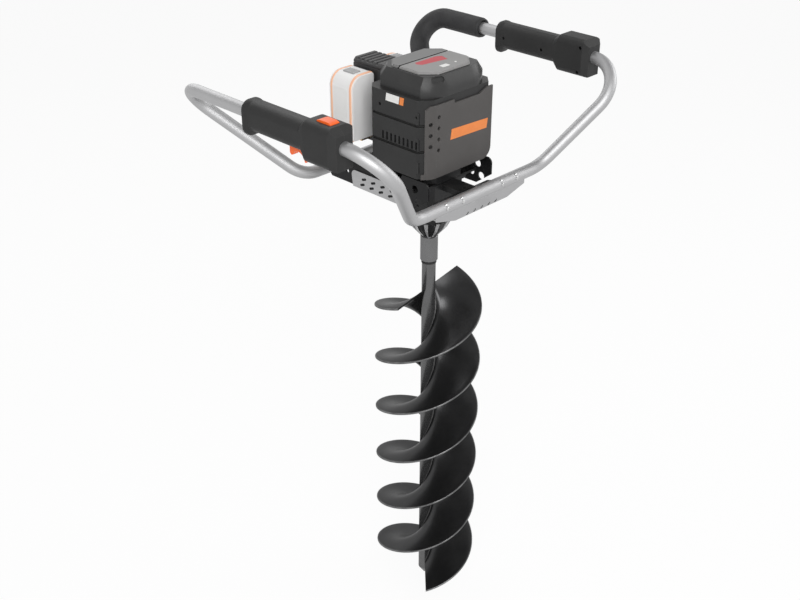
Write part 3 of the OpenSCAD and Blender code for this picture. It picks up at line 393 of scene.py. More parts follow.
    def _scratches(self) -> bpy.types.NodeTree:
        """Hair-fine drawn lines of bare metal.

        Returns:
            The group, with outputs Shade and Height.
        """
        g, inp, out = self._shell(
            "Scratches",
            [("Vector", Kind.VECTOR, None), ("Stretch", Kind.VECTOR, (40.0, 40.0, 900.0))],
            [("Shade", Kind.FLOAT), ("Height", Kind.FLOAT)],
        )
        pulled = g.add("ShaderNodeVectorMath", operation="MULTIPLY")
        g.feed(pulled.inputs[0], inp.outputs["Vector"])
        g.feed(pulled.inputs[1], inp.outputs["Stretch"])
        look = self.LINES
        lines = g.noise(pulled.outputs["Vector"], look.scale, look.detail, look.rough)
        g.feed(out.inputs["Height"], lines)
        g.feed(out.inputs["Shade"], g.span(lines, look.low, look.high))
        return g.tree


@dataclass(frozen=True)
class Finish:
    """One procedural finish, with the values of the shared effects it uses."""

    name: str
    color: Color
    other: Color
    rough: float = 0.5
    rough_swing: float = 0.12
    metal: float = 0.0
    specular: float = 0.5
    edge_tint: float = 1.0
    coat: float = 0.0
    coat_rough: float = 0.2
    grain_scale: float = 900.0
    grain_depth: float = 0.00006
    grain_strength: float = 0.25
    mottle: float = 0.5
    mottle_scale: float = 14.0
    # Colour, amount and width of the edge marks, which are partly scuffs and partly painted highlights along
    # edges.
    worn: Color = grey(0.3)
    wear_and_highlight: float = 0.0
    wear_and_highlight_radius: float = 0.0012
    dust: float = 0.0
    dust_color: Color = (0.32, 0.3, 0.27)
    stretch: Point | None = None

    def material(self, effects: Effects) -> bpy.types.Material:
        """Builds the material.

        Args:
            effects: the shared node groups.

        Returns:
            The new material.
        """
        made = bpy.data.materials.new(self.name)
        made.use_nodes = True
        made.node_tree.nodes.clear()
        graph = Graph(made.node_tree)
        where = graph.add("ShaderNodeTexCoord").outputs["Object"]
        shader = graph.add("ShaderNodeBsdfPrincipled")
        output = graph.add("ShaderNodeOutputMaterial")
        graph.feed(output.inputs["Surface"], shader.outputs["BSDF"])
        shader.inputs["Metallic"].default_value = self.metal
        shader.inputs["Specular IOR Level"].default_value = self.specular
        shader.inputs["Specular Tint"].default_value = opaque(grey(self.edge_tint))
        shader.inputs["Coat Weight"].default_value = self.coat
        shader.inputs["Coat Roughness"].default_value = self.coat_rough
        color = self.paint(graph, effects, where)
        self.surface(graph, effects, where, shader, color)
        return made

    @staticmethod
    def group(graph: Graph, tree: bpy.types.NodeTree, values: dict[str, object]) -> bpy.types.Node:
        """Places a shared group in the material and feeds its inputs.

        Args:
            graph: the material's graph.
            tree: the group.
            values: plain values and sockets, by the name of the input.

        Returns:
            The group's node.
        """
        node = graph.add("ShaderNodeGroup", node_tree=tree)
        for key, value in values.items():
            socket = node.inputs[key]
            graph.feed(socket, opaque(value) if socket.type == "RGBA" else value)
        return node

    def base(self, graph: Graph, effects: Effects, where: Socket) -> Socket:
        """Gives the plain colour before wear: here one colour that drifts to another.

        Args:
            graph: the material's graph.
            effects: the shared node groups.
            where: the place on the piece.

        Returns:
            The colour socket.
        """
        node = self.group(graph, effects.mottle, {
            "Vector": where, "Color": self.color, "Other": self.other,
            "Scale": self.mottle_scale, "Amount": self.mottle,
        })
        return node.outputs["Color"]

    def paint(self, graph: Graph, effects: Effects, where: Socket) -> Socket:
        """Adds scuffed edges, which also paint highlights along edges, and dust to the plain colour.

        Args:
            graph: the material's graph.
            effects: the shared node groups.
            where: the place on the piece.

        Returns:
            The finished colour.
        """
        color = self.base(graph, effects, where)
        # Edge marks: partly scuffs, partly painted highlights along edges.
        if self.wear_and_highlight > 0.0:
            rubbed_and_lit = self.group(graph, effects.edge_wear_and_highlight, {
                "Vector": where, "Color": color, "Worn": self.worn,
                "Radius": self.wear_and_highlight_radius, "Amount": self.wear_and_highlight,
            })
            color = rubbed_and_lit.outputs["Color"]
        if self.dust > 0.0:
            dusty = self.group(graph, effects.dust, {
                "Vector": where, "Color": color, "Dust": self.dust_color, "Amount": self.dust,
            })
            color = dusty.outputs["Color"]
        return color

    def surface(
        self, graph: Graph, effects: Effects, where: Socket, shader: bpy.types.Node, color: Socket,
    ) -> None:
        """Feeds colour, roughness and bump to the shader.

        Args:
            graph: the material's graph.
            effects: the shared node groups.
            where: the place on the piece.
            shader: the principled shader.
            color: the finished colour.
        """
        graph.feed(shader.inputs["Base Color"], color)
        if self.stretch is None:
            grain = self.group(graph, effects.grain, {"Vector": where, "Scale": self.grain_scale})
        else:
            grain = self.group(graph, effects.scratches, {"Vector": where, "Stretch": self.stretch})
        low, high = self.rough - self.rough_swing / 2, self.rough + self.rough_swing / 2
        graph.feed(shader.inputs["Roughness"], graph.span(grain.outputs["Shade"], 0.0, 1.0, low, high))
        bump = graph.add("ShaderNodeBump", {"Strength": self.grain_strength, "Distance": self.grain_depth})
        graph.feed(bump.inputs["Height"], grain.outputs["Height"])
        graph.feed(shader.inputs["Normal"], bump.outputs["Normal"])


@dataclass(frozen=True)
class BandedFinish(Finish):
    """Pale pack moulding with two bands of another colour round it."""

    band: Color = (0.9, 0.5, 0.3)
    band_low: tuple[float, float] = (0.108, 0.154)
    band_width: float = 0.004
    lap: float = 0.0002

    def base(self, graph: Graph, effects: Effects, where: Socket) -> Socket:
        """Gives the moulding's colour with the bands laid over it.

        Args:
            graph: the material's graph.
            effects: the shared node groups.
            where: the place on the piece.

        Returns:
            The colour socket.
        """
        plain = super().base(graph, effects, where)
        y = graph.add("ShaderNodeSeparateXYZ", {"Vector": where}).outputs["Y"]
        share: object = 0.0
        for low in self.band_low:
            middle = low + self.band_width / 2
            gap = graph.math("ABSOLUTE", graph.math("SUBTRACT", y, middle))
            near = graph.math("LESS_THAN", gap, self.band_width / 2 + self.lap)
            share = graph.math("MAXIMUM", share, near)
        return graph.mix(share, plain, self.band)


@dataclass(frozen=True)
class SplitFinish(Finish):
    """Moulding in two tones that meet at a line across the machine."""

    split: float = 0.017
    groove: float = 0.003
    lap: float = 0.0001
    behind: Color = grey(0.1)
    # Colour that paints shade into the groove between the two tones.
    shade: Color = grey(0.012)

    def base(self, graph: Graph, effects: Effects, where: Socket) -> Socket:
        """Gives the front tone, with the other one behind the split and painted shade in the groove between.

        Args:
            graph: the material's graph.
            effects: the shared node groups.
            where: the place on the piece.

        Returns:
            The colour socket.
        """
        plain = super().base(graph, effects, where)
        y = graph.add("ShaderNodeSeparateXYZ", {"Vector": where}).outputs["Y"]
        tones = graph.mix(graph.math("GREATER_THAN", y, self.split), plain, self.behind)
        # Painted shade: the groove is darkened where shade falls in it.
        gap = graph.math("ABSOLUTE", graph.math("SUBTRACT", y, self.split))
        in_groove = graph.math("LESS_THAN", gap, self.groove / 2 + self.lap)
        return graph.mix(in_groove, tones, self.shade)


@dataclass(frozen=True)
class FlightFinish(Finish):
    """Black coat of the flights, scuffed lighter towards the rim."""

    rim_in: float = 0.09
    rim_out: float = 0.1
    rim_share: float = 0.6
    rub: Drift = Drift(5.0, 0.6, 0.3, 0.7, 60.0)
    rub_low: float = 0.35

    def base(self, graph: Graph, effects: Effects, where: Socket) -> Socket:
        """Gives the coat's colour with the rubbed rim.

        Args:
            graph: the material's graph.
            effects: the shared node groups.
            where: the place on the piece.

        Returns:
            The colour socket.
        """
        plain = super().base(graph, effects, where)
        parts = graph.add("ShaderNodeSeparateXYZ", {"Vector": where})
        flat = graph.add("ShaderNodeCombineXYZ", {"X": parts.outputs["X"], "Y": parts.outputs["Y"]})
        length = graph.add("ShaderNodeVectorMath", operation="LENGTH")
        graph.feed(length.inputs[0], flat.outputs["Vector"])
        rim = graph.span(length.outputs["Value"], self.rim_in, self.rim_out, 0.0, self.rim_share)
        broken = graph.drift(where, self.rub, start=self.rub_low)
        return graph.mix(graph.math("MULTIPLY", rim, broken), plain, self.worn)


@dataclass(frozen=True)
class RibFinish(Finish):
    """Dark casting whose ribs round the spin axis are painted bright, partly as turned bare metal and partly
    as painted highlights.
    """

    rib_metal_and_highlight: Color = (0.42, 0.42, 0.425)
    ribs: int = 12
    rib_turn: float = 9.0

    def base(self, graph: Graph, effects: Effects, where: Socket) -> Socket:
        """Gives the casting's colour with the ribs painted bright, partly as bare metal and partly as
        painted highlights.

        Args:
            graph: the material's graph.
            effects: the shared node groups.
            where: the place on the piece.

        Returns:
            The colour socket.
        """
        plain = super().base(graph, effects, where)
        parts = graph.add("ShaderNodeSeparateXYZ", {"Vector": where})
        angle = graph.math("ARCTAN2", parts.outputs["Y"], parts.outputs["X"])
        share = graph.math("FRACT", graph.math("MULTIPLY", angle, self.ribs / (2 * math.pi)))
        # Bright rib colour: turned bare metal, with a painted highlight on each rib.
        on_rib = graph.math("LESS_THAN", share, self.rib_turn * self.ribs / 360.0)
        return graph.mix(on_rib, plain, self.rib_metal_and_highlight)


@dataclass
class Finishes:
    """Every finish of the machine, made once and handed out by name."""

    effects: Effects
    made: dict[str, bpy.types.Material] = field(default_factory=dict)

    def get(self, finish: Finish) -> bpy.types.Material:
        """Gives the material of a finish, built the first time it is asked for.

        Args:
            finish: the finish.

        Returns:
            Its material.
        """
        if finish.name not in self.made:
            self.made[finish.name] = finish.material(self.effects)
        return self.made[finish.name]


TUBE = Finish(
    "drawn_tube", (0.46, 0.46, 0.465), (0.4, 0.4, 0.405), rough=0.56, rough_swing=0.03, metal=1.0,
    grain_scale=420.0, grain_depth=0.00001, grain_strength=0.02, mottle=0.5, mottle_scale=9.0,
)
SHEET = Finish(
    "pressed_sheet", (0.42, 0.42, 0.425), (0.36, 0.36, 0.365), rough=0.38, rough_swing=0.12, metal=1.0,
    stretch=(500.0, 20.0, 500.0), grain_depth=0.00002, grain_strength=0.08, worn=grey(0.7), wear_and_highlight=0.5,
)
BLACK_SHEET = Finish(
    "black_sheet", (0.007, 0.007, 0.0075), (0.011, 0.011, 0.0115), rough=0.42, specular=0.18,
    grain_scale=1400.0, worn=grey(0.1), wear_and_highlight=0.4, dust=0.03,
)
CASTING = Finish(
    "black_casting", (0.012, 0.012, 0.0125), (0.018, 0.018, 0.0185), rough=0.42, specular=0.22,
    grain_scale=520.0, grain_depth=0.0001, grain_strength=0.3, worn=grey(0.1), wear_and_highlight=0.4, dust=0.03,
)
HOUSING = Finish(
    "housing_moulding", grey(0.024), grey(0.031), rough=0.4, specular=0.2, grain_scale=1100.0,
    worn=grey(0.12), wear_and_highlight=0.35, dust=0.03,
)
GUARD = Finish(
    "guard_coat", (0.074, 0.07, 0.068), (0.088, 0.084, 0.082), rough=0.42, specular=0.2,
    grain_scale=1500.0, worn=(0.24, 0.23, 0.22), wear_and_highlight=0.5, dust=0.03,
)
COVER = Finish(
    "cover_moulding", grey(0.03), grey(0.038), rough=0.36, specular=0.25, grain_scale=1100.0,
    worn=grey(0.14), wear_and_highlight=0.4, dust=0.03,
)
PANEL = SplitFinish(
    "panel_moulding", (0.29, 0.287, 0.284), (0.33, 0.327, 0.324), rough=0.58, specular=0.2,
    grain_scale=1300.0, worn=grey(0.4), wear_and_highlight=0.4, dust=0.03, behind=(0.215, 0.215, 0.214),
)
STRIP = Finish(
    "strip_window", (0.5, 0.055, 0.07), (0.58, 0.085, 0.1), rough=0.4, rough_swing=0.05, specular=0.2,
    grain_scale=300.0, grain_strength=0.05, mottle_scale=60.0,
)
GRIP = Finish(
    "grip_moulding", grey(0.03), grey(0.038), rough=0.5, specular=0.12, grain_scale=850.0,
    grain_depth=0.0001, grain_strength=0.3, worn=grey(0.1), wear_and_highlight=0.3, dust=0.02,
)
ORANGE = Finish(
    "trigger_moulding", (0.95, 0.14, 0.015), (0.88, 0.115, 0.012), rough=0.38, grain_scale=1200.0,
    worn=(0.95, 0.32, 0.12), wear_and_highlight=0.35,
)
FOAM = Finish(
    "cell_foam", (0.02, 0.02, 0.021), (0.034, 0.034, 0.035), rough=0.72, rough_swing=0.2, specular=0.4,
    grain_scale=620.0, grain_depth=0.00035, grain_strength=0.6, mottle=0.7, mottle_scale=30.0,
)
FLIGHT = FlightFinish(
    "flight_coat", (0.052, 0.052, 0.053), (0.078, 0.078, 0.079), rough=0.33, rough_swing=0.1,
    metal=0.85, edge_tint=0.5, grain_scale=760.0, grain_depth=0.00006, grain_strength=0.2, mottle=0.7,
    mottle_scale=11.0, worn=(0.3, 0.3, 0.302), rim_in=0.0965,
)
STEM = Finish(
    "stem_coat", (0.13, 0.13, 0.131), (0.16, 0.16, 0.161), rough=0.26, metal=0.8, edge_tint=0.6,
    grain_scale=760.0, grain_depth=0.00003, grain_strength=0.05, worn=grey(0.4), wear_and_highlight=0.4,
)
WELD = Finish(
    "weld_bead", (0.045, 0.045, 0.046), (0.075, 0.072, 0.07), rough=0.4, metal=0.3, grain_scale=420.0,
    grain_depth=0.0002, grain_strength=0.4, mottle_scale=90.0,
)
SOCKET = Finish(
    "socket_coat", (0.16, 0.16, 0.162), (0.2, 0.2, 0.202), rough=0.26, metal=0.8, edge_tint=0.6,
    grain_scale=700.0, grain_depth=0.00003, grain_strength=0.05, worn=grey(0.5), wear_and_highlight=0.4,
)
NOSE = RibFinish(
    "nose_casting", (0.014, 0.014, 0.015), (0.022, 0.022, 0.023), rough=0.36, metal=0.5, specular=0.4,
    grain_scale=520.0, grain_depth=0.00005, grain_strength=0.15, worn=grey(0.5), wear_and_highlight=0.4,
)
STEEL = Finish(
    "ground_steel", (0.5, 0.5, 0.52), (0.42, 0.42, 0.44), rough=0.3, metal=1.0,
    stretch=(60.0, 60.0, 1200.0),
)
GEAR = Finish(
    "gear_steel", (0.33, 0.33, 0.35), (0.22, 0.21, 0.2), rough=0.32, metal=1.0,
    stretch=(300.0, 300.0, 900.0), wear_and_highlight=0.4, worn=grey(0.6),
)
ALLOY = Finish(
    "cast_alloy", (0.48, 0.48, 0.49), (0.4, 0.4, 0.41), rough=0.46, metal=1.0, grain_scale=420.0,
    grain_depth=0.0001,
)
IRON = Finish(
    "laminated_iron", (0.12, 0.12, 0.13), (0.17, 0.16, 0.16), rough=0.5, metal=0.8,
    stretch=(8.0, 8.0, 1900.0),
)
COPPER = Finish(
    "enamelled_wire", (0.5, 0.19, 0.07), (0.4, 0.14, 0.05), rough=0.3, metal=0.9, coat=0.4,
    stretch=(900.0, 900.0, 50.0),
)
BOARD = Finish(
    "circuit_board", (0.015, 0.1, 0.045), (0.02, 0.14, 0.07), rough=0.35, coat=0.3, grain_scale=350.0,
    mottle_scale=80.0,
)
BRASS = Finish(
    "plated_contacts", (0.7, 0.48, 0.2), (0.62, 0.4, 0.16), rough=0.28, metal=1.0,
    stretch=(900.0, 900.0, 60.0),
)
RUBBER = Finish("seal_rubber", grey(0.015), grey(0.022), rough=0.7, grain_scale=800.0)
SCREW = Finish(
    "blackened_screws", (0.012, 0.012, 0.013), grey(0.03), rough=0.36, metal=0.9, grain_scale=900.0,
)
RIVET = Finish("bright_rivets", grey(0.55), grey(0.45), rough=0.3, metal=1.0, grain_scale=900.0)
FAN = Finish("fan_moulding", grey(0.03), grey(0.04), rough=0.45)
TOWER = Finish(
    "tower_moulding", (0.02, 0.02, 0.021), (0.03, 0.03, 0.031), rough=0.5, worn=grey(0.1), wear_and_highlight=0.35,
    dust=0.05,
)
PACK = BandedFinish(
    "pack_moulding", (0.82, 0.815, 0.81), (0.77, 0.765, 0.76), rough=0.5, grain_scale=1100.0,
    worn=grey(0.8), wear_and_highlight=0.3, band=(0.9, 0.5, 0.32),
)
LATCH = Finish("latch_moulding", grey(0.4), (0.34, 0.34, 0.345), rough=0.5, wear_and_highlight=0.4, worn=grey(0.55))
LABEL = Finish(
    "label_film", (0.8, 0.795, 0.78), (0.74, 0.735, 0.72), rough=0.34, rough_swing=0.06, coat=0.2,
    grain_scale=400.0, grain_strength=0.06, mottle_scale=40.0,
)
BAR = Finish(
    "badge_film", (0.78, 0.22, 0.035), (0.7, 0.18, 0.03), rough=0.36, rough_swing=0.06, coat=0.2,
    grain_scale=400.0, grain_strength=0.06, mottle_scale=40.0,
)

EDGE_WIDTHS: tuple[tuple[float, str], ...] = (
    (0.0009, "motor_housing top_cover"),
    (0.0007, "top_panel trigger"),
    (0.0005, "front_guard front_plate left_rail right_rail"),
    (0.0012, "battery_tower tower_cap"),
    (0.0014, "left_battery right_battery"),
    (0.0006, "left_latch right_latch lock_button bit_socket"),
    (0.0016, "left_grip_outer left_grip_inner right_grip_outer right_grip_inner"),
    (0.001, "gear_case"),
    (0.0008, "motor_adapter"),
    (0.0004, "left_side_plate right_side_plate panel_strip"),
)
SOFT_EDGES: dict[str, float] = {node: width for width, nodes in EDGE_WIDTHS for node in nodes.split()}

FINISHED_NODES: tuple[tuple[Finish, str], ...] = (
    (TUBE, "front_tube rear_tube"),
    (STEEL, "tube_joiners trigger_pin spindle_bearings counter_bearings motor_bearings "
            "output_spindle motor_shaft"),
    (SHEET, "front_plate left_side_plate right_side_plate"),
    (BLACK_SHEET, "chassis_floor left_rail right_rail"),
    (RIVET, "frame_rivets"),
    (NOSE, "gear_nose"),
    (CASTING, "gear_case motor_adapter"),
    (ALLOY, "gear_mid_plate gear_cover motor_frame"),
    (IRON, "stator_core rotor_core"),
    (COPPER, "stator_coils"),
    (HOUSING, "motor_housing"),
    (GUARD, "front_guard"),
    (COVER, "top_cover"),
    (PANEL, "top_panel"),
    (STRIP, "panel_strip"),
    (BOARD, "controller_board"),
    (SCREW, "housing_screws grip_screws bit_screw"),
    (TOWER, "battery_tower tower_cap"),
    (BRASS, "battery_terminals"),
    (GRIP, "left_grip_outer left_grip_inner right_grip_outer right_grip_inner"),
    (FAN, "switch_block cooling_fan"),
    (RUBBER, "spindle_seal socket_ring"),
    (GEAR, "output_gear countershaft first_gear"),
    (SOCKET, "bit_socket"),
    (STEM, "bit_stem pilot_point"),
    (FLIGHT, "flight_one flight_two"),
    (ORANGE, "trigger lock_button"),
    (PACK, "left_battery right_battery"),
    (LATCH, "left_latch right_latch"),
)
NODE_FINISH: dict[str, Finish] = {node: finish for finish, nodes in FINISHED_NODES for node in nodes.split()}


class Workshop:
    """Makes Blender pieces from vertices and faces and gives them to a body."""

    FILM_SUNK = 0.0002

    def __init__(self, finishes: Finishes) -> None:
        """Keeps the finishes.

        Args:
            finishes: the store of materials.
        """
        self.finishes = finishes

    def piece(
        self, name: str, mesh: bpy.types.Mesh, finish: Finish, body: Body, slot: str, smooth: bool = True,
    ) -> bpy.types.Object:
        """Makes an object of a mesh, dresses it and lets it ride on a body.

        Args:
            name: the piece's name.
            mesh: its mesh, in the row frame.
            finish: its finish.
            body: the body it moves with.
            slot: the record's material slot; not used.
            smooth: shade it smooth.

        Returns:
            The new object.
        """
        obj = bpy.data.objects.new(name, mesh)
        bpy.context.scene.collection.objects.link(obj)
        mesh.materials.clear()
        mesh.materials.append(self.finishes.get(finish))
        for face in mesh.polygons:
            face.use_smooth = smooth
        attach(obj, body.value)
        LOG.info("piece %s on %s", name, body.value)
        return obj

    @staticmethod
    def skin(name: str, rings: Sequence[Sequence[Vector]], looped: bool = False) -> bpy.types.Mesh:
        """Skins a row of rings of equal count.

        Args:
            name: the mesh's name.
            rings: the rings, in order.
            looped: join the last ring to the first; otherwise both ends get a flat cap.

        Returns:
            The new mesh.
        """
        bm = bmesh.new()
        rows = [[bm.verts.new(p) for p in ring] for ring in rings]
        count = len(rows[0])
        pairs = list(zip(rows, rows[1:])) + ([(rows[-1], rows[0])] if looped else [])
        for row, nxt in pairs:
            for i in range(count):
                j = (i + 1) % count
                bm.faces.new((row[i], row[j], nxt[j], nxt[i]))
        if not looped:
            for cap in (bm.faces.new(list(reversed(rows[0]))), bm.faces.new(rows[-1])):
                for edge in cap.edges:
                    edge.smooth = False
        bmesh.ops.recalc_face_normals(bm, faces=bm.faces)
        mesh = bpy.data.meshes.new(name)
        bm.to_mesh(mesh)
        bm.free()
        return mesh

    @staticmethod
    def plate(name: str, outline: Outline, place: Matrix, thick: float, bead: float) -> bpy.types.Mesh:
        """Makes a thin plate with a slanted rim.

        Args:
            name: the mesh's name.
            outline: the plate's corners in its own plane, counter-clockwise.
            place: where the plane lies; its Z looks outwards.
            thick: how far the plate stands out.
            bead: how far the upper rim is drawn in.

        Returns:
            The new mesh.
        """
        centre = Vector((sum(p[0] for p in outline), sum(p[1] for p in outline))) / len(outline)
        rows = []
        for height, inset in ((-Workshop.FILM_SUNK, 0.0), (thick - bead, 0.0), (thick, bead)):
            ring = []
            for x, y in outline:
                pull = (centre - Vector((x, y))).normalized() * inset
                ring.append(place @ Vector((x + pull.x, y + pull.y, height)))
            rows.append(ring)
        return Workshop.skin(name, rows)


@dataclass
class Route:
    """A path of straight runs joined by round bends."""

    corners: Sequence[Vector]
    radii: Sequence[float]
    bend_steps: int = 4

    def points(self, step: float) -> list[Vector]:
        """Gives points along the path.

        Args:
            step: the distance between points.

        Returns:
            The points, from the first corner to the last.
        """
        path: list[Vector] = []
        start = self.corners[0]
        for i, radius in enumerate(self.radii):
            corner, after = self.corners[i + 1], self.corners[i + 2]
            a, b = (corner - self.corners[i]).normalized(), (after - corner).normalized()
            turn = a.angle(b)
            reach = radius * math.tan(turn / 2)
            path += self._run(start, corner - a * reach, step)
            side = (b - a * a.dot(b)).normalized()
            centre = corner - a * reach + side * radius
            count = max(self.bend_steps, int(radius * turn / step))
            for k in range(count):
                angle = turn * k / count
                path.append(centre + (a * math.sin(angle) - side * math.cos(angle)) * radius)
            start = corner + b * reach
        return path + self._run(start, self.corners[-1], step) + [self.corners[-1].copy()]

    @staticmethod
    def _run(start: Vector, end: Vector, step: float) -> list[Vector]:
        """Gives points of a straight run, without its last one."""
        count = max(1, round((end - start).length / step))
        return [start.lerp(end, k / count) for k in range(count)]


def ring_frames(points: Sequence[Vector], up: Vector) -> list[CrossFrame]:
    """Carries a steady cross frame along a path.

    Args:
        points: the path.
        up: a direction that starts the frame.

    Returns:
        The tangent, side and up direction at each point.
    """
    frames = []
    for i, _ in enumerate(points):
        tangent = (points[min(i + 1, len(points) - 1)] - points[max(i - 1, 0)]).normalized()
        side = tangent.cross(up).normalized()
        up = side.cross(tangent).normalized()
        frames.append((tangent, side, up.copy()))
    return frames


@dataclass
class FoamSleeve:
    """The foam sleeve pushed over the right rear bend of the frame."""

    shop: Workshop
    start: Vector = field(default_factory=lambda: Vector((0.301, 0.148, 1.09)))
    corner: Vector = field(default_factory=lambda: Vector((0.301, 0.33, 1.09)))
    beam_end: Vector = field(default_factory=lambda: Vector((0.161, 0.15, 0.925)))
    bend: float = 0.042
    leg: float = 0.12
    outside: float = 0.019
    bore: float = 0.0113
    mouth: float = 0.0145
    mouth_depth: float = 0.006
    around: int = 40
    step: float = 0.005
    rim: float = 0.0016
    rim_run: float = 0.004
    wave: float = 0.00018
    wave_lobes: int = 3
    wave_turn: float = 0.31
    wave_beat: float = 0.17
    wave_start: float = 1.0

    def build(self) -> None:
        """Makes the sleeve, which replaces the CAD's plain one, with round rims and open mouths."""
        a = (self.corner - self.start).normalized()
        b = (self.beam_end - self.corner).normalized()
        reach = self.bend * math.tan(a.angle(b) / 2)
        corners = [self.start, self.corner, self.corner + b * (reach + self.leg)]
        points = Route(corners, [self.bend]).points(self.step)
        frames = ring_frames(points, Vector((0.0, 0.0, 1.0)))
        last = len(points) - 1
        rings = [self._ring(points[0], frames[0], self.mouth)]
        for i, point in enumerate(points):
            edge = min(i, last - i) * self.step
            soft = self.rim * max(0.0, 1.0 - edge / self.rim_run) ** 2
            rings.append(self._ring(point, frames[i], self.outside - soft, i))
        rings.append(self._ring(points[-1], frames[-1], self.mouth))
        deep = points[-1] - frames[-1][0] * self.mouth_depth
        rings += [self._ring(deep, frames[-1], radius) for radius in (self.mouth, self.bore)]
        rings += [self._ring(points[i], frames[i], self.bore) for i in range(last - 2, 1, -1)]
        deep = points[0] + frames[0][0] * self.mouth_depth
        rings += [self._ring(deep, frames[0], radius) for radius in (self.bore, self.mouth)]
        skin = Workshop.skin("foam_sleeve", rings, looped=True)
        sleeve = self.shop.piece("foam_sleeve", skin, FOAM, Body.HEAD, "foam_black")
        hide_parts("foam_pad")

    def _ring(self, centre: Vector, frame: CrossFrame, radius: float, index: int = 0) -> list[Vector]:
        """Gives one ring of the sleeve, with the slight unevenness of foam.

        Args:
            centre: the ring's middle.
            frame: the cross frame there.
            radius: the ring's radius.
            index: the ring's number along the outside; ring 0 is even.

        Returns:
            The ring's points.
        """
        _, side, up = frame
        swell = self.wave * math.sin(self.wave_beat * index + self.wave_start) if index else 0.0
        ring = []
        for k in range(self.around):
            angle = 2 * math.pi * k / self.around
            bump = swell * math.sin(self.wave_lobes * angle + self.wave_turn * index)
            ring.append(centre + (side * math.cos(angle) + up * math.sin(angle)) * (radius + bump))
        return ring


@dataclass
class Flight:
    """One helical flight with a rounded rim and the weld bead at its root."""

    shop: Workshop
    node: str
    start: float
    turn: float = math.radians(1045.4148)
    foot: float = 0.036
    rise: float = 0.661
    thick: float = 0.004
    inner: float = 0.01276
    outer: float = 0.1
    rim: float = 0.0013
    steps: int = 300
    across: int = 9
    rim_angles: tuple[float, ...] = (0.0, 0.6, 1.1, math.pi / 2)
    bead: float = 0.0022
    bead_out: float = 0.0006
    bead_up: float = 0.0004
    bead_sides: int = 10
    bead_steps: int = 900
    ripple: float = 0.14
    ripples: float = 26.0

    def build(self) -> None:
        """Makes the flight, which replaces the CAD's faceted one, and its weld."""
        name = f"{self.node}_skin"
        rings = [self._section(k / self.steps) for k in range(self.steps + 1)]
        skin = self.shop.piece(name, Workshop.skin(name, rings), FLIGHT, Body.BIT, "bit_black")
        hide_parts(self.node)
        name = f"{self.node}_weld"
        rings = [self._bead_ring(k / self.bead_steps) for k in range(self.bead_steps + 1)]
        self.shop.piece(name, Workshop.skin(name, rings), WELD, Body.BIT, "bit_black")

    def _at(self, share: float, radius: float, height: float) -> Vector:
        """Gives a point of the flight.

        Args:
            share: 0 at the foot and 1 at the top.
            radius: the distance from the spin axis.
            height: the height over the flight's underside.

        Returns:
            The point.
        """
        angle = self.start + self.turn * share
        level = self.foot + self.rise * share + height
        return Vector((radius * math.cos(angle), radius * math.sin(angle), level))

    def _section(self, share: float) -> list[Vector]:
        """Gives the flight's cross-section at a share of its length.

        Args:
            share: 0 at the foot and 1 at the top.

        Returns:
            The section's points, along the underside, round the rim and back on top.
        """
        flat = self.outer - self.rim
        under = [(self.inner + (flat - self.inner) * k / self.across, 0.0) for k in range(self.across)]
        arc = [(flat + self.rim * math.sin(t), self.rim - self.rim * math.cos(t)) for t in self.rim_angles]
        over = [(r, self.thick - h) for r, h in reversed(under + arc)]
        return [self._at(share, r, h) for r, h in under + arc + over]

    def _bead_ring(self, share: float) -> list[Vector]:
        """Gives one ring of the weld bead, with its ripple.

        Args:
            share: 0 at the foot and 1 at the top.

        Returns:
            The ring's points.
        """
        size = self.bead * (1.0 + self.ripple * math.sin(share * self.turn * self.ripples))
        ring = []
        for k in range(self.bead_sides):
            angle = 2 * math.pi * k / self.bead_sides
            radius = self.inner + self.bead_out + size * math.cos(angle)
            ring.append(self._at(share, radius, self.thick + self.bead_up + size * math.sin(angle)))
        return ring


@dataclass(frozen=True)
class RoundBox:
    """A rectangle with round corners in the plane of a mark."""

    x: float
    y: float
    half_w: float
    half_h: float
    radius: float
    corner_steps: int = 4

    def outline(self, mirror: float = 1.0) -> Outline:
        """Gives the rectangle's outline.

        Args:
            mirror: the sign that the middle takes across the plane.

        Returns:
            The points of its corners, counter-clockwise.
        """
        points = []
        for quarter, (sx, sy) in enumerate(((1, 1), (-1, 1), (-1, -1), (1, -1))):
            x = self.x * mirror + sx * (self.half_w - self.radius)
            y = self.y + sy * (self.half_h - self.radius)
            for k in range(self.corner_steps + 1):
                angle = math.pi / 2 * (quarter + k / self.corner_steps)
                points.append((x + self.radius * math.cos(angle), y + self.radius * math.sin(angle)))
        return points


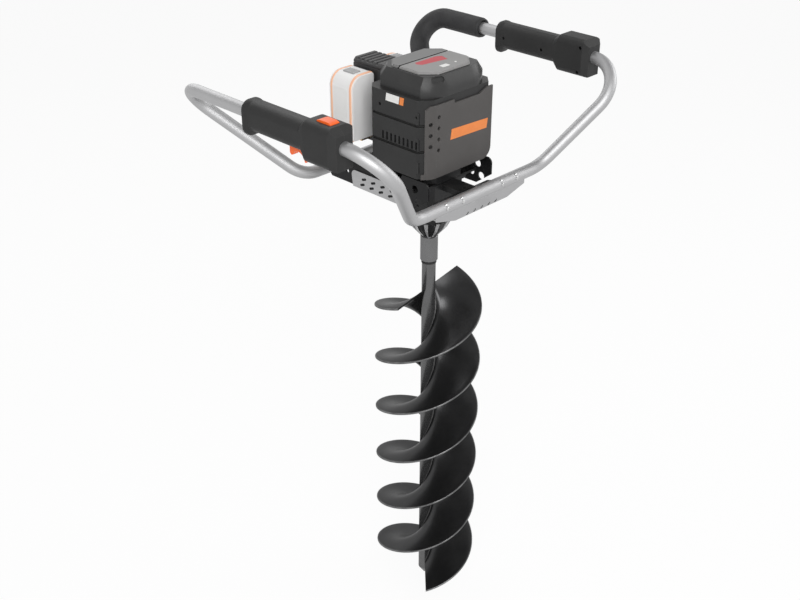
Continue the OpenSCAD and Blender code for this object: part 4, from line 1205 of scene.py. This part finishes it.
@dataclass
class Marks:
    """Plain generic marks on the guard, the housing, the panel and the packs, and a dark film that paints
    shade into the cover's recess.
    """

    shop: Workshop
    film: float = 0.0003
    film_rim: float = 0.0001
    guard_y: float = -0.0692
    guard_bar: Outline = ((-0.0265, 1.0145), (0.064, 1.0115), (0.067, 1.0285), (-0.0235, 1.0325))
    tier_x: float = -0.086
    pale_patch: Outline = ((-0.022, 1.0755), (0.008, 1.0755), (0.01, 1.0885), (-0.02, 1.0885))
    warm_patch: Outline = ((0.0095, 1.0755), (0.0185, 1.0755), (0.0205, 1.0885), (0.0115, 1.0885))
    panel_z: float = 1.128
    icon: RoundBox = RoundBox(-0.0055, -0.034, 0.0085, 0.005, 0.0015)
    dot: RoundBox = RoundBox(0.022, -0.033, 0.002, 0.002, 0.0018)
    recess: RoundBox = RoundBox(0.0, 0.0, 0.0118, 0.0043, 0.0043)
    recess_place: Point = (-0.0458, -0.0576, 1.119)
    recess_turn: float = -18.0
    recess_tilt: float = 60.0
    recess_depth: float = 0.0034
    pack_x: float = 0.084
    label: RoundBox = RoundBox(0.133, 1.036, 0.0165, 0.033, 0.002)
    bar_span: tuple[float, float] = (0.119, 0.146)
    bar_low: tuple[float, float] = (1.0, 0.9935)
    bar_height: float = 0.0028

    def build(self) -> None:
        """Lays every mark on its face."""
        front = Matrix(((1, 0, 0, 0), (0, 0, -1, self.guard_y), (0, 1, 0, 0), (0, 0, 0, 1)))
        left = Matrix(((0, 0, -1, self.tier_x), (-1, 0, 0, 0), (0, 1, 0, 0), (0, 0, 0, 1)))
        top = Matrix.Translation((0.0, 0.0, self.panel_z))
        self._mark("guard_bar", self.guard_bar, front, BAR, "guard_grey")
        self._mark("tier_mark_pale", self.pale_patch, left, LABEL, "housing_black")
        self._mark("tier_mark_warm", self.warm_patch, left, BAR, "housing_black")
        self._mark("panel_icon", self.icon.outline(), top, LABEL, "panel_grey")
        self._mark("panel_dot", self.dot.outline(), top, LABEL, "panel_grey")
        # A dark film on the floor of the cover's oval recess paints shade into the recess.
        self._mark("recess_shade_film", self.recess.outline(), self._recess_plane(), RUBBER, "cover_black")
        for side, body in ((Side.LEFT, Body.LEFT_PACK), (Side.RIGHT, Body.RIGHT_PACK)):
            self._pack_label(side, body)

    def _recess_plane(self) -> Matrix:
        """Gives the plane of the floor of the cover's oval recess.

        Returns:
            The plane, whose Z looks out of the recess.
        """
        turn = Matrix.Rotation(math.radians(self.recess_turn), 4, "Z")
        tilt = Matrix.Rotation(math.radians(self.recess_tilt), 4, "X")
        sink = Matrix.Translation((0.0, 0.0, -self.recess_depth))
        return Matrix.Translation(self.recess_place) @ turn @ tilt @ sink

    def _mark(
        self, name: str, outline: Outline, place: Matrix, finish: Finish, slot: str, body: Body = Body.HEAD,
    ) -> None:
        """Makes one mark as a thin film."""
        mesh = Workshop.plate(name, outline, place, self.film, self.film_rim)
        self.shop.piece(name, mesh, finish, body, slot, smooth=False)

    def _pack_label(self, side: Side, body: Body) -> None:
        """Lays a blank label with two plain bars on the outer face of a pack.

        Args:
            side: the pack's side.
            body: the pack's body.
        """
        sign = side.value
        place = Matrix(((0, 0, sign, self.pack_x * sign), (sign, 0, 0, 0), (0, 1, 0, 0), (0, 0, 0, 1)))
        name = side.name.lower()
        self._mark(f"{name}_label", self.label.outline(sign), place, LABEL, "pack_grey", body)
        near, far = (edge * sign for edge in self.bar_span)
        for k, low in enumerate(self.bar_low):
            high = low + self.bar_height
            bar = [(near, low), (far, low), (far, high), (near, high)]
            if side is Side.LEFT:
                bar.reverse()
            self._mark(f"{name}_bar_{k}", bar, place, LATCH, "pack_grey", body)


@dataclass(frozen=True)
class Lamp:
    """A soft square lamp: where it hangs, its power in watts and its edge."""

    name: str
    place: Point
    power: float
    size: float = 2.0


@dataclass
class Studio:
    """Camera, lamps, floor and backdrop."""

    target: Vector = field(default_factory=lambda: Vector((-0.03686, 0.03725, 0.6719)))
    azimuth: float = -45.3
    elevation: float = 29.79
    distance: float = 2.0597
    lens: float = 50.0
    sensor: float = 36.0
    sight: float = 60.0
    lamps: tuple[Lamp, ...] = (
        Lamp("key_lamp", (-1.75, -1.85, 2.3), 74.0),
        Lamp("fill_lamp", (2.3, -1.1, 2.0), 26.0),
        Lamp("back_lamp", (0.5, 2.0, 2.7), 24.0),
    )
    lamp_aim: Point = (0.0, 0.0, 0.8)
    floor_half: float = 14.0
    floor_drop: float = 0.001
    floor_tone: float = 0.9
    floor_white: float = 0.93
    sky_shown: tuple[float, float, float, float] = (0.1, 0.9, 1.0, 0.4)
    sky_light: tuple[float, float, float, float] = (-0.2, 0.9, 0.16, 0.34)

    def build(self) -> None:
        """Sets up everything round the object."""
        self.camera()
        for lamp in self.lamps:
            self.hang(lamp)
        self.floor()
        self.world()

    def camera(self) -> None:
        """Places the camera at the photograph's viewing angle."""
        data = bpy.data.cameras.new("view_camera")
        data.lens = self.lens
        data.sensor_width = self.sensor
        data.clip_end = self.sight
        cam = bpy.data.objects.new("view_camera", data)
        bpy.context.scene.collection.objects.link(cam)
        a, e = math.radians(self.azimuth), math.radians(self.elevation)
        back = Vector((math.sin(a) * math.cos(e), -math.cos(a) * math.cos(e), math.sin(e)))
        cam.location = self.target + back * self.distance
        cam.rotation_mode = "QUATERNION"
        cam.rotation_quaternion = (-back).to_track_quat("-Z", "Y")
        bpy.context.scene.camera = cam

    def hang(self, lamp: Lamp) -> None:
        """Adds a lamp that looks at the object.

        Args:
            lamp: the lamp.
        """
        data = bpy.data.lights.new(lamp.name, "AREA")
        data.size = lamp.size
        data.energy = lamp.power
        obj = bpy.data.objects.new(lamp.name, data)
        bpy.context.scene.collection.objects.link(obj)
        obj.location = lamp.place
        aim = Vector(self.lamp_aim) - Vector(lamp.place)
        obj.rotation_mode = "QUATERNION"
        obj.rotation_quaternion = aim.to_track_quat("-Z", "Y")

    @staticmethod
    def backdrop_rays(graph: Graph) -> Socket:
        """Picks the rays that show the backdrop itself and not its light.

        Args:
            graph: the graph of the floor or of the world.

        Returns:
            1 for camera, glossy and transmission rays, 0 for the rest.
        """
        rays = graph.add("ShaderNodeLightPath")
        seen = graph.math("MAXIMUM", rays.outputs["Is Camera Ray"], rays.outputs["Is Glossy Ray"])
        return graph.math("MAXIMUM", seen, rays.outputs["Is Transmission Ray"])

    def floor(self) -> None:
        """Lays a plain pale floor that keeps a soft shadow."""
        bm = bmesh.new()
        bmesh.ops.create_grid(bm, x_segments=1, y_segments=1, size=self.floor_half)
        mesh = bpy.data.meshes.new("pale_floor")
        bm.to_mesh(mesh)
        bm.free()
        obj = bpy.data.objects.new("pale_floor", mesh)
        bpy.context.scene.collection.objects.link(obj)
        obj.location = (0.0, 0.0, -self.floor_drop)
        made = bpy.data.materials.new("pale_floor")
        made.use_nodes = True
        made.node_tree.nodes.clear()
        graph = Graph(made.node_tree)
        seen = self.backdrop_rays(graph)
        matt = graph.add("ShaderNodeBsdfDiffuse", {"Color": opaque(grey(self.floor_tone))})
        white = graph.add("ShaderNodeEmission", {"Color": opaque(grey(1.0)), "Strength": 1.0})
        blend = graph.add("ShaderNodeMixShader")
        graph.feed(blend.inputs[0], graph.math("MULTIPLY", seen, self.floor_white))
        graph.feed(blend.inputs[1], matt.outputs["BSDF"])
        graph.feed(blend.inputs[2], white.outputs["Emission"])
        output = graph.add("ShaderNodeOutputMaterial")
        graph.feed(output.inputs["Surface"], blend.outputs["Shader"])
        mesh.materials.append(made)

    def world(self) -> None:
        """Fills the surroundings with soft white light that fades towards the ground."""
        world = bpy.data.worlds.new("studio_world")
        bpy.context.scene.world = world
        world.use_nodes = True
        world.node_tree.nodes.clear()
        graph = Graph(world.node_tree)
        where = graph.add("ShaderNodeTexCoord").outputs["Generated"]
        height = graph.add("ShaderNodeSeparateXYZ", {"Vector": where}).outputs["Z"]
        seen = self.backdrop_rays(graph)
        shown = graph.math("MULTIPLY", seen, graph.span(height, *self.sky_shown))
        unseen = graph.math("SUBTRACT", 1.0, seen)
        light = graph.math("MULTIPLY", unseen, graph.span(height, *self.sky_light))
        strength = graph.math("ADD", shown, light)
        back = graph.add("ShaderNodeBackground", {"Color": opaque(grey(1.0))})
        graph.feed(back.inputs["Strength"], strength)
        output = graph.add("ShaderNodeOutputWorld")
        graph.feed(output.inputs["Surface"], back.outputs["Background"])
        bpy.context.scene.view_settings.view_transform = "Standard"


@dataclass
class Dresser:
    """Gives every CAD node its finish and softens the edges of mouldings and sheets."""

    nodes: dict[str, bpy.types.Object]
    finishes: Finishes
    join: float = 0.000005
    flat_turn: float = 0.3
    edge_turn: float = 38.0
    edge_steps: int = 3

    def dress(self) -> None:
        """Assigns a finish to each node, and soft edges where it has them."""
        for name, obj in self.nodes.items():
            finish = NODE_FINISH.get(name)
            if finish is None:
                continue
            obj.data.materials.clear()
            obj.data.materials.append(self.finishes.get(finish))
            if name in SOFT_EDGES:
                self._soften(obj, SOFT_EDGES[name])
            LOG.info("node %s has %s", name, finish.name)

    def _soften(self, obj: bpy.types.Object, width: float) -> None:
        """Rounds the sharp edges of a node through modifiers.

        Args:
            obj: the node.
            width: the width of the rounding.
        """
        weld = obj.modifiers.new("join_corners", "WELD")
        weld.merge_threshold = self.join
        merge = obj.modifiers.new("merge_flats", "DECIMATE")
        merge.decimate_type = "DISSOLVE"
        merge.angle_limit = math.radians(self.flat_turn)
        bevel = obj.modifiers.new("soft_edges", "BEVEL")
        bevel.limit_method = "ANGLE"
        bevel.angle_limit = math.radians(self.edge_turn)
        bevel.width = width
        bevel.segments = self.edge_steps
        bevel.use_clamp_overlap = True
        normals = obj.modifiers.new("face_normals", "WEIGHTED_NORMAL")
        normals.keep_sharp = False


def main(frame: dict[str, object]) -> None:
    """Builds the scene round the loaded frame.
    """
    logging.basicConfig(level=logging.INFO, format="%(name)s: %(message)s")
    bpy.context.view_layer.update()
    Studio().build()
    finishes = Finishes(Effects())
    shop = Workshop(finishes)
    Dresser(frame["nodes"], finishes).dress()
    FoamSleeve(shop).build()
    for node, start in (("flight_one", 225.0), ("flight_two", 45.0)):
        Flight(shop, node, math.radians(start)).build()
    Marks(shop).build()
    bpy.context.view_layer.update()


if __name__ == "__main__":
    main(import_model())
